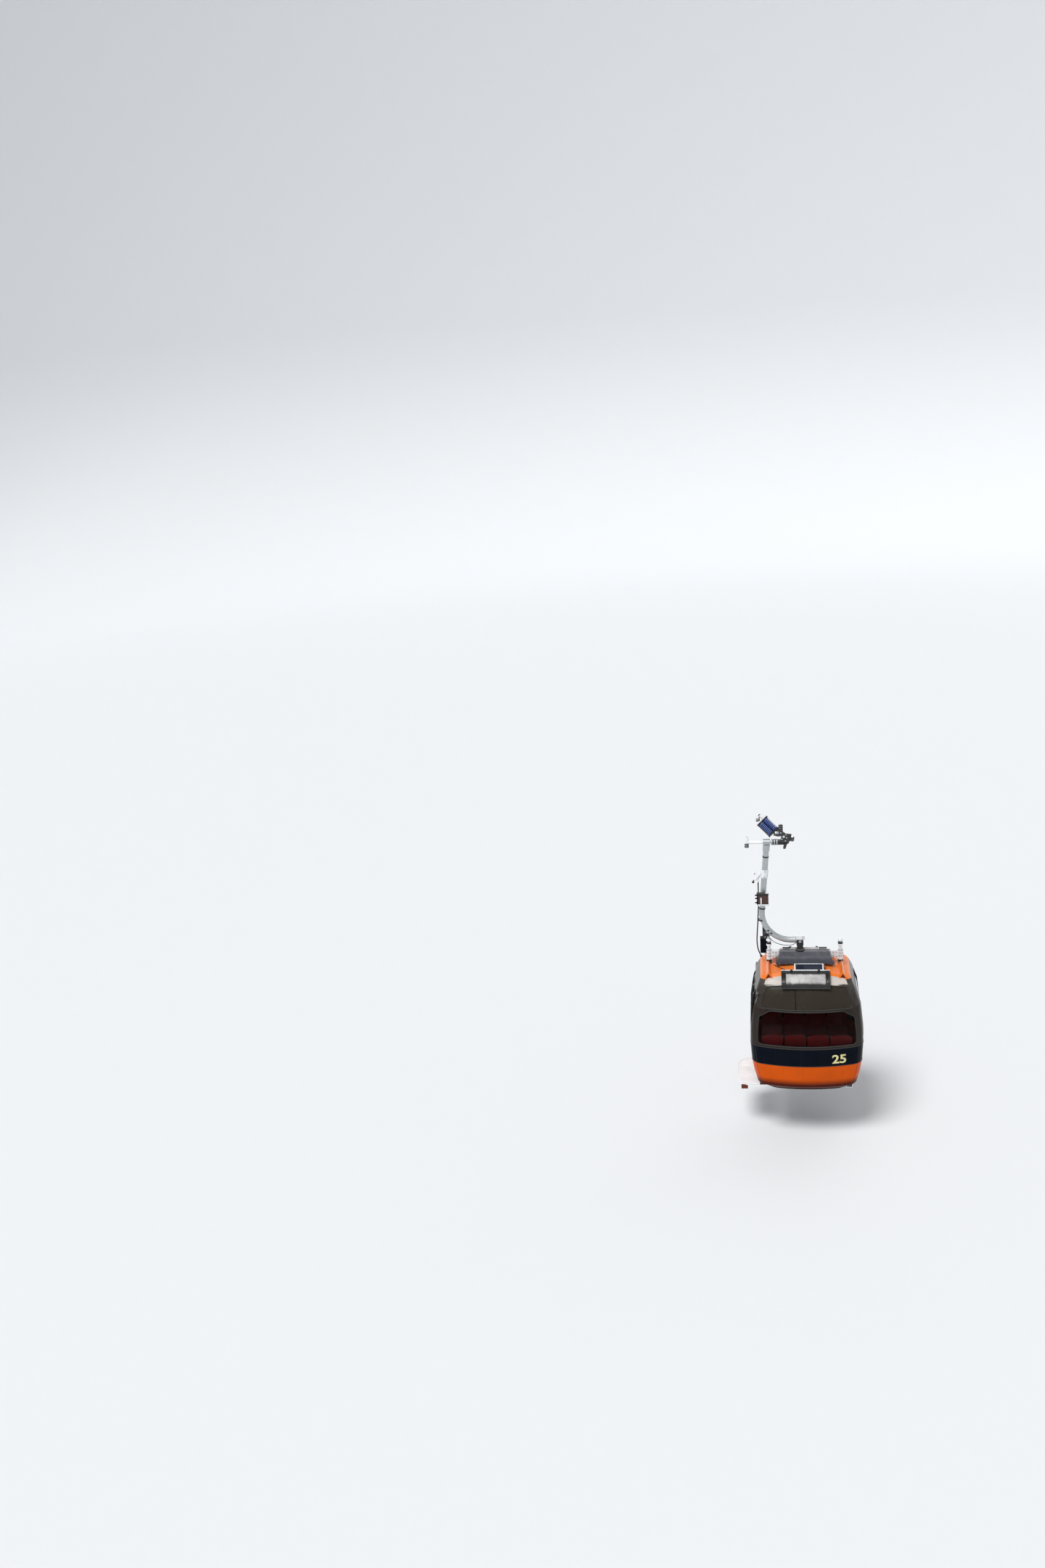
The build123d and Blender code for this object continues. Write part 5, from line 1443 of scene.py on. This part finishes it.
def add_seat(bm, x, way):
    """One seat: its side line drawn across the width, its crest rounded and its faces dished."""
    verts, ring = add_line(bm, [at(x - SEAT_HALF, -y * way, z) for y, z in SEAT_LINE], closed=True)
    last = bmesh.ops.contextual_create(bm, geom=ring)["faces"]
    columns = [verts]
    for k in range(SEAT_CELLS):
        made = bmesh.ops.extrude_face_region(bm, geom=last, use_keep_orig=not k)["geom"]
        columns.append(moved_verts(made))
        bmesh.ops.translate(bm, verts=columns[-1], vec=(2 * SEAT_HALF / SEAT_CELLS, 0, 0))
        last = [item for item in made if isinstance(item, bmesh.types.BMFace)]
    for vert in sum(columns, []):
        across = (vert.co.x - CABIN.x - x) / SEAT_HALF
        height = vert.co.z - CABIN.z
        hollow = SEAT_DISH * (1 - across ** 2)
        if height > SEAT_CREST:
            vert.co.z -= SEAT_SHOULDER * across ** 4
        if height > SEAT_BACK_LOW and abs(vert.co.y - CABIN.y) < SEAT_BACK_FACE:
            vert.co.y += hollow * way
        elif SEAT_TOP < height < SEAT_BACK_LOW:
            vert.co.z -= hollow


# Inset from the board's edge, height and radius of its two rims and its raised strip
BOARD_RIMS = ((0.0, -0.012, 0.0080), (0.0, -0.042, 0.0080), (0.030, -0.010, 0.0040))
# X past the board where a rim's outline closes, out of use, and how far its ends are kept straight
PAST_BOARD, BOARD_END = 0.2, 0.02
BOARD_ARMS_Y, BOARD_ARM_Z = (-0.450, -0.050, 0.350), -0.084
BOARD_ARM_BOLTS_X = (-0.900, -0.955, -0.640, -0.740)
GUIDE_BOLTS_Y, GUIDE_BOLTS_AT = (-0.50, -0.20, 0.20, 0.50), (0.822, -0.040)


class CABIN_OT_footboard(bpy.types.Operator):
    """Rims, raised strip and fixings of the footboard"""
    bl_idname = "cabin.footboard"
    bl_label = "Footboard trim"

    def execute(self, context):
        size = context.scene.cabin_sizes.bolt
        bm = bmesh.new()
        for inset, z, radius in BOARD_RIMS:
            x, front, back = BOARD_X[0] + inset, BOARD_Y[0] + inset, BOARD_Y[1] - inset
            corners = [(PAST_BOARD, front), (x, front), (x, back), (PAST_BOARD, back)]
            outline = rounded(corners, BOARD_R - inset, 12)
            turned = [tuple(point) for point in outline if point.x < BOARD_X[1] - BOARD_END]
            line = [(BOARD_X[1], front)] + turned + [(BOARD_X[1], back)]
            add_bead(bm, [at(px, py, z) for px, py in line], radius, closed=False)
        finish_mesh(bm, "footboard_rim", "board_white")
        bm = bmesh.new()
        for y in BOARD_ARMS_Y:
            for x in BOARD_ARM_BOLTS_X:
                add_bolt(bm, at(x, y, BOARD_ARM_Z), (0, 0, -1), size * 0.7)
        for y in GUIDE_BOLTS_Y:
            add_bolt(bm, at(GUIDE_BOLTS_AT[0], y, GUIDE_BOLTS_AT[1]), (1, 0, 0), size * 0.7)
        finish_mesh(bm, "under_fasteners", "galvanised")
        return {"FINISHED"}


RIBS_Y, RIB_X, RIB_HALF, RIB_Z = (-0.66, -0.33, 0.0, 0.33, 0.66), (-0.560, 0.660), 0.020, (-0.014, 0.004)
DRAINS_X, DRAINS_Y, DRAIN_R, DRAIN_Z = (-0.45, 0.45), (-0.50, 0.50), 0.022, (0.002, -0.010)


class CABIN_OT_underfloor(bpy.types.Operator):
    """Ribs and drain plugs under the floor tray"""
    bl_idname = "cabin.underfloor"
    bl_label = "Underfloor"

    def execute(self, context):
        bm = bmesh.new()
        for y in RIBS_Y:
            add_box(bm, at(RIB_X[0], y - RIB_HALF, RIB_Z[0]), at(RIB_X[1], y + RIB_HALF, RIB_Z[1]), 0.004)
        for x in DRAINS_X:
            for y in DRAINS_Y:
                add_rod(bm, at(x, y, DRAIN_Z[0]), at(x, y, DRAIN_Z[1]), DRAIN_R, 24)
        finish_mesh(bm, "floor_ribs", "floor_alu")
        return {"FINISHED"}


NUMBER_SIZE, NUMBER_WIDEN, NUMBER_OFFSET, NUMBER_FILM = 0.232, 1.12, 0.006, 0.0006
NUMBER_EDGE = 0.05    # longer edges are divided, so that the film follows the belt


class CABIN_OT_number(bpy.types.Operator):
    """The plain number on the front belt"""
    bl_idname = "cabin.number"
    bl_label = "Number"

    def execute(self, context):
        words = bpy.data.curves.new("belt_number", "FONT")
        words.body = context.scene.cabin_sizes.number
        words.size = NUMBER_SIZE
        words.extrude = NUMBER_FILM
        words.offset = NUMBER_OFFSET
        words.resolution_u = 6
        words.align_x, words.align_y = "CENTER", "CENTER"
        drawn = add_object("belt_number_line", words)
        bpy.context.view_layer.update()
        mesh = bpy.data.meshes.new_from_object(drawn.evaluated_get(bpy.context.evaluated_depsgraph_get()))
        bpy.data.objects.remove(drawn)
        bm = bmesh.new()
        bm.from_mesh(mesh)
        bpy.data.meshes.remove(mesh)
        bmesh.ops.remove_doubles(bm, verts=bm.verts, dist=0.00005)
        long = [edge for edge in bm.edges if edge.calc_length() > NUMBER_EDGE]
        bmesh.ops.subdivide_edges(bm, edges=long, cuts=3)
        for vert in bm.verts:
            x, z = NUMBER_AT[0] + vert.co.x * NUMBER_WIDEN, NUMBER_AT[1] + vert.co.y
            vert.co = end_point(x, z, NUMBER_FILM + vert.co.z)
        finish_mesh(bm, "belt_number", "number", smooth=30)
        return {"FINISHED"}


# The stage

PALE = (0.80, 0.81, 0.82, 1)
SKY = (0.90, 0.93, 0.97, 1)
LAMPS = (
    # name, heading, height and spread in degrees, share of the key light's strength
    ("Key", -35, 62, 25, 1.0),
    ("Front fill", 160, 30, 60, 0.25),
)
FLOOR_BELOW, FLOOR_REACH, FLOOR_BEND, WALL_HEIGHT = 0.75, 60.0, 14.0, 36.0


class CABIN_OT_stage(bpy.types.Operator):
    """Floor, backdrop, light and the camera at the photograph's angle"""
    bl_idname = "cabin.stage"
    bl_label = "Stage"

    def execute(self, context):
        scene = context.scene
        stage = scene.cabin_stage
        yaw, pitch, roll = stage.yaw, stage.pitch, stage.roll
        ahead = Vector((math.sin(yaw) * math.cos(pitch), math.cos(yaw) * math.cos(pitch), -math.sin(pitch)))
        right = Vector((math.cos(yaw), -math.sin(yaw), 0))
        up = right.cross(ahead)
        tilted_right = right * math.cos(roll) + up * math.sin(roll)
        tilted_up = up * math.cos(roll) - right * math.sin(roll)
        turn = Matrix((tilted_right, tilted_up, -ahead)).transposed().to_4x4()
        camera = add_object("Camera", bpy.data.cameras.new("Camera"))
        camera.matrix_world = Matrix.Translation(stage.place) @ turn
        camera.data.lens = stage.lens
        camera.data.clip_end = 400
        scene.camera = camera
        scene.view_settings.view_transform = "Standard"
        make_floor()
        make_world(scene, stage.sky)
        for name, heading, height, angle, share in LAMPS:
            lamp = bpy.data.lights.new(name, "SUN")
            lamp.angle, lamp.energy = math.radians(angle), stage.key * share
            holder = add_object(name, lamp)
            holder.rotation_euler = (math.radians(90 - height), 0, math.radians(heading))
        return {"FINISHED"}


def make_floor():
    """A pale round floor that curves up into a backdrop on every side."""
    low = CAD_BOX[0][2] - FLOOR_BELOW
    line = [Vector((0, 0, low)), Vector((FLOOR_REACH, 0, low))]
    line += [Vector((FLOOR_REACH + FLOOR_BEND * math.sin(a), 0, low + FLOOR_BEND - FLOOR_BEND * math.cos(a)))
             for a in (math.radians(9 * k) for k in range(1, 11))]
    line.append(Vector((FLOOR_REACH + FLOOR_BEND, 0, low + WALL_HEIGHT)))
    bm = bmesh.new()
    verts, edges = add_line(bm, line)
    bmesh.ops.spin(bm, geom=verts + edges, cent=(0, 0, 0), axis=(0, 0, 1), angle=math.tau, steps=72,
                   use_merge=True)
    bmesh.ops.remove_doubles(bm, verts=bm.verts, dist=0.001)
    mesh = bpy.data.meshes.new("floor")
    bm.to_mesh(mesh)
    bm.free()
    mesh.shade_smooth()
    mesh.materials.append(new_finish("Pale floor", Base_Color=PALE, Roughness=0.95)[0])
    add_object("floor", mesh)


def make_world(scene, strength):
    """Even pale light all round, and a pale background behind glass and for the camera."""
    world = bpy.data.worlds.new("Studio")
    world.use_nodes = True
    tree = world.node_tree
    light = tree.nodes["Background"]
    light.inputs[0].default_value = SKY
    light.inputs[1].default_value = strength
    shown = add_node(tree, "ShaderNodeBackground", {0: PALE, 1: 1.0})
    path = add_node(tree, "ShaderNodeLightPath").outputs
    seen = highest(tree, path["Is Camera Ray"], path["Is Transmission Ray"])
    mix = add_node(tree, "ShaderNodeMixShader", {0: seen, 1: light.outputs[0], 2: shown.outputs[0]})
    tree.links.new(mix.outputs[0], tree.nodes["World Output"].inputs["Surface"])
    scene.world = world


# The add-on's classes

GROUPS_OF_VALUES = (CabinColours, CabinSizes, CabinStage)
OPERATORS = (
    CABIN_OT_finishes, CABIN_OT_door_cable, CABIN_OT_grip_springs, CABIN_OT_grip_fittings,
    CABIN_OT_roller_faces, CABIN_OT_hanger_fittings, CABIN_OT_control_box, CABIN_OT_window_seals,
    CABIN_OT_panel_beads, CABIN_OT_pane_seam, CABIN_OT_leaf_seals, CABIN_OT_hood_fittings,
    CABIN_OT_roof_fittings, CABIN_OT_post_fittings, CABIN_OT_seat_shells, CABIN_OT_footboard,
    CABIN_OT_underfloor, CABIN_OT_number, CABIN_OT_stage,
)


class CABIN_PT_panel(bpy.types.Panel):
    """Lists the cabin's pieces in the 3D view's sidebar"""
    bl_idname = "CABIN_PT_panel"
    bl_label = "Cable car cabin"
    bl_space_type = "VIEW_3D"
    bl_region_type = "UI"
    bl_category = "Cabin"

    def draw(self, context):
        for operator in OPERATORS:
            self.layout.operator(operator.bl_idname)
        scene = context.scene
        for values in (scene.cabin_colours, scene.cabin_sizes, scene.cabin_stage):
            for name in values.bl_rna.properties.keys():
                if name not in ("rna_type", "name"):
                    self.layout.prop(values, name)


def register():
    for made in (*GROUPS_OF_VALUES, *OPERATORS, CABIN_PT_panel):
        bpy.utils.register_class(made)
    bpy.types.Scene.cabin_colours = PointerProperty(type=CabinColours)
    bpy.types.Scene.cabin_sizes = PointerProperty(type=CabinSizes)
    bpy.types.Scene.cabin_stage = PointerProperty(type=CabinStage)


def unregister():
    for name in ("cabin_colours", "cabin_sizes", "cabin_stage"):
        delattr(bpy.types.Scene, name)
    for made in reversed((*GROUPS_OF_VALUES, *OPERATORS, CABIN_PT_panel)):
        bpy.utils.unregister_class(made)


def main():
    register()
    for operator in OPERATORS:
        family, call = operator.bl_idname.split(".")
        getattr(getattr(bpy.ops, family), call)()


if __name__ == "__main__":
    main()
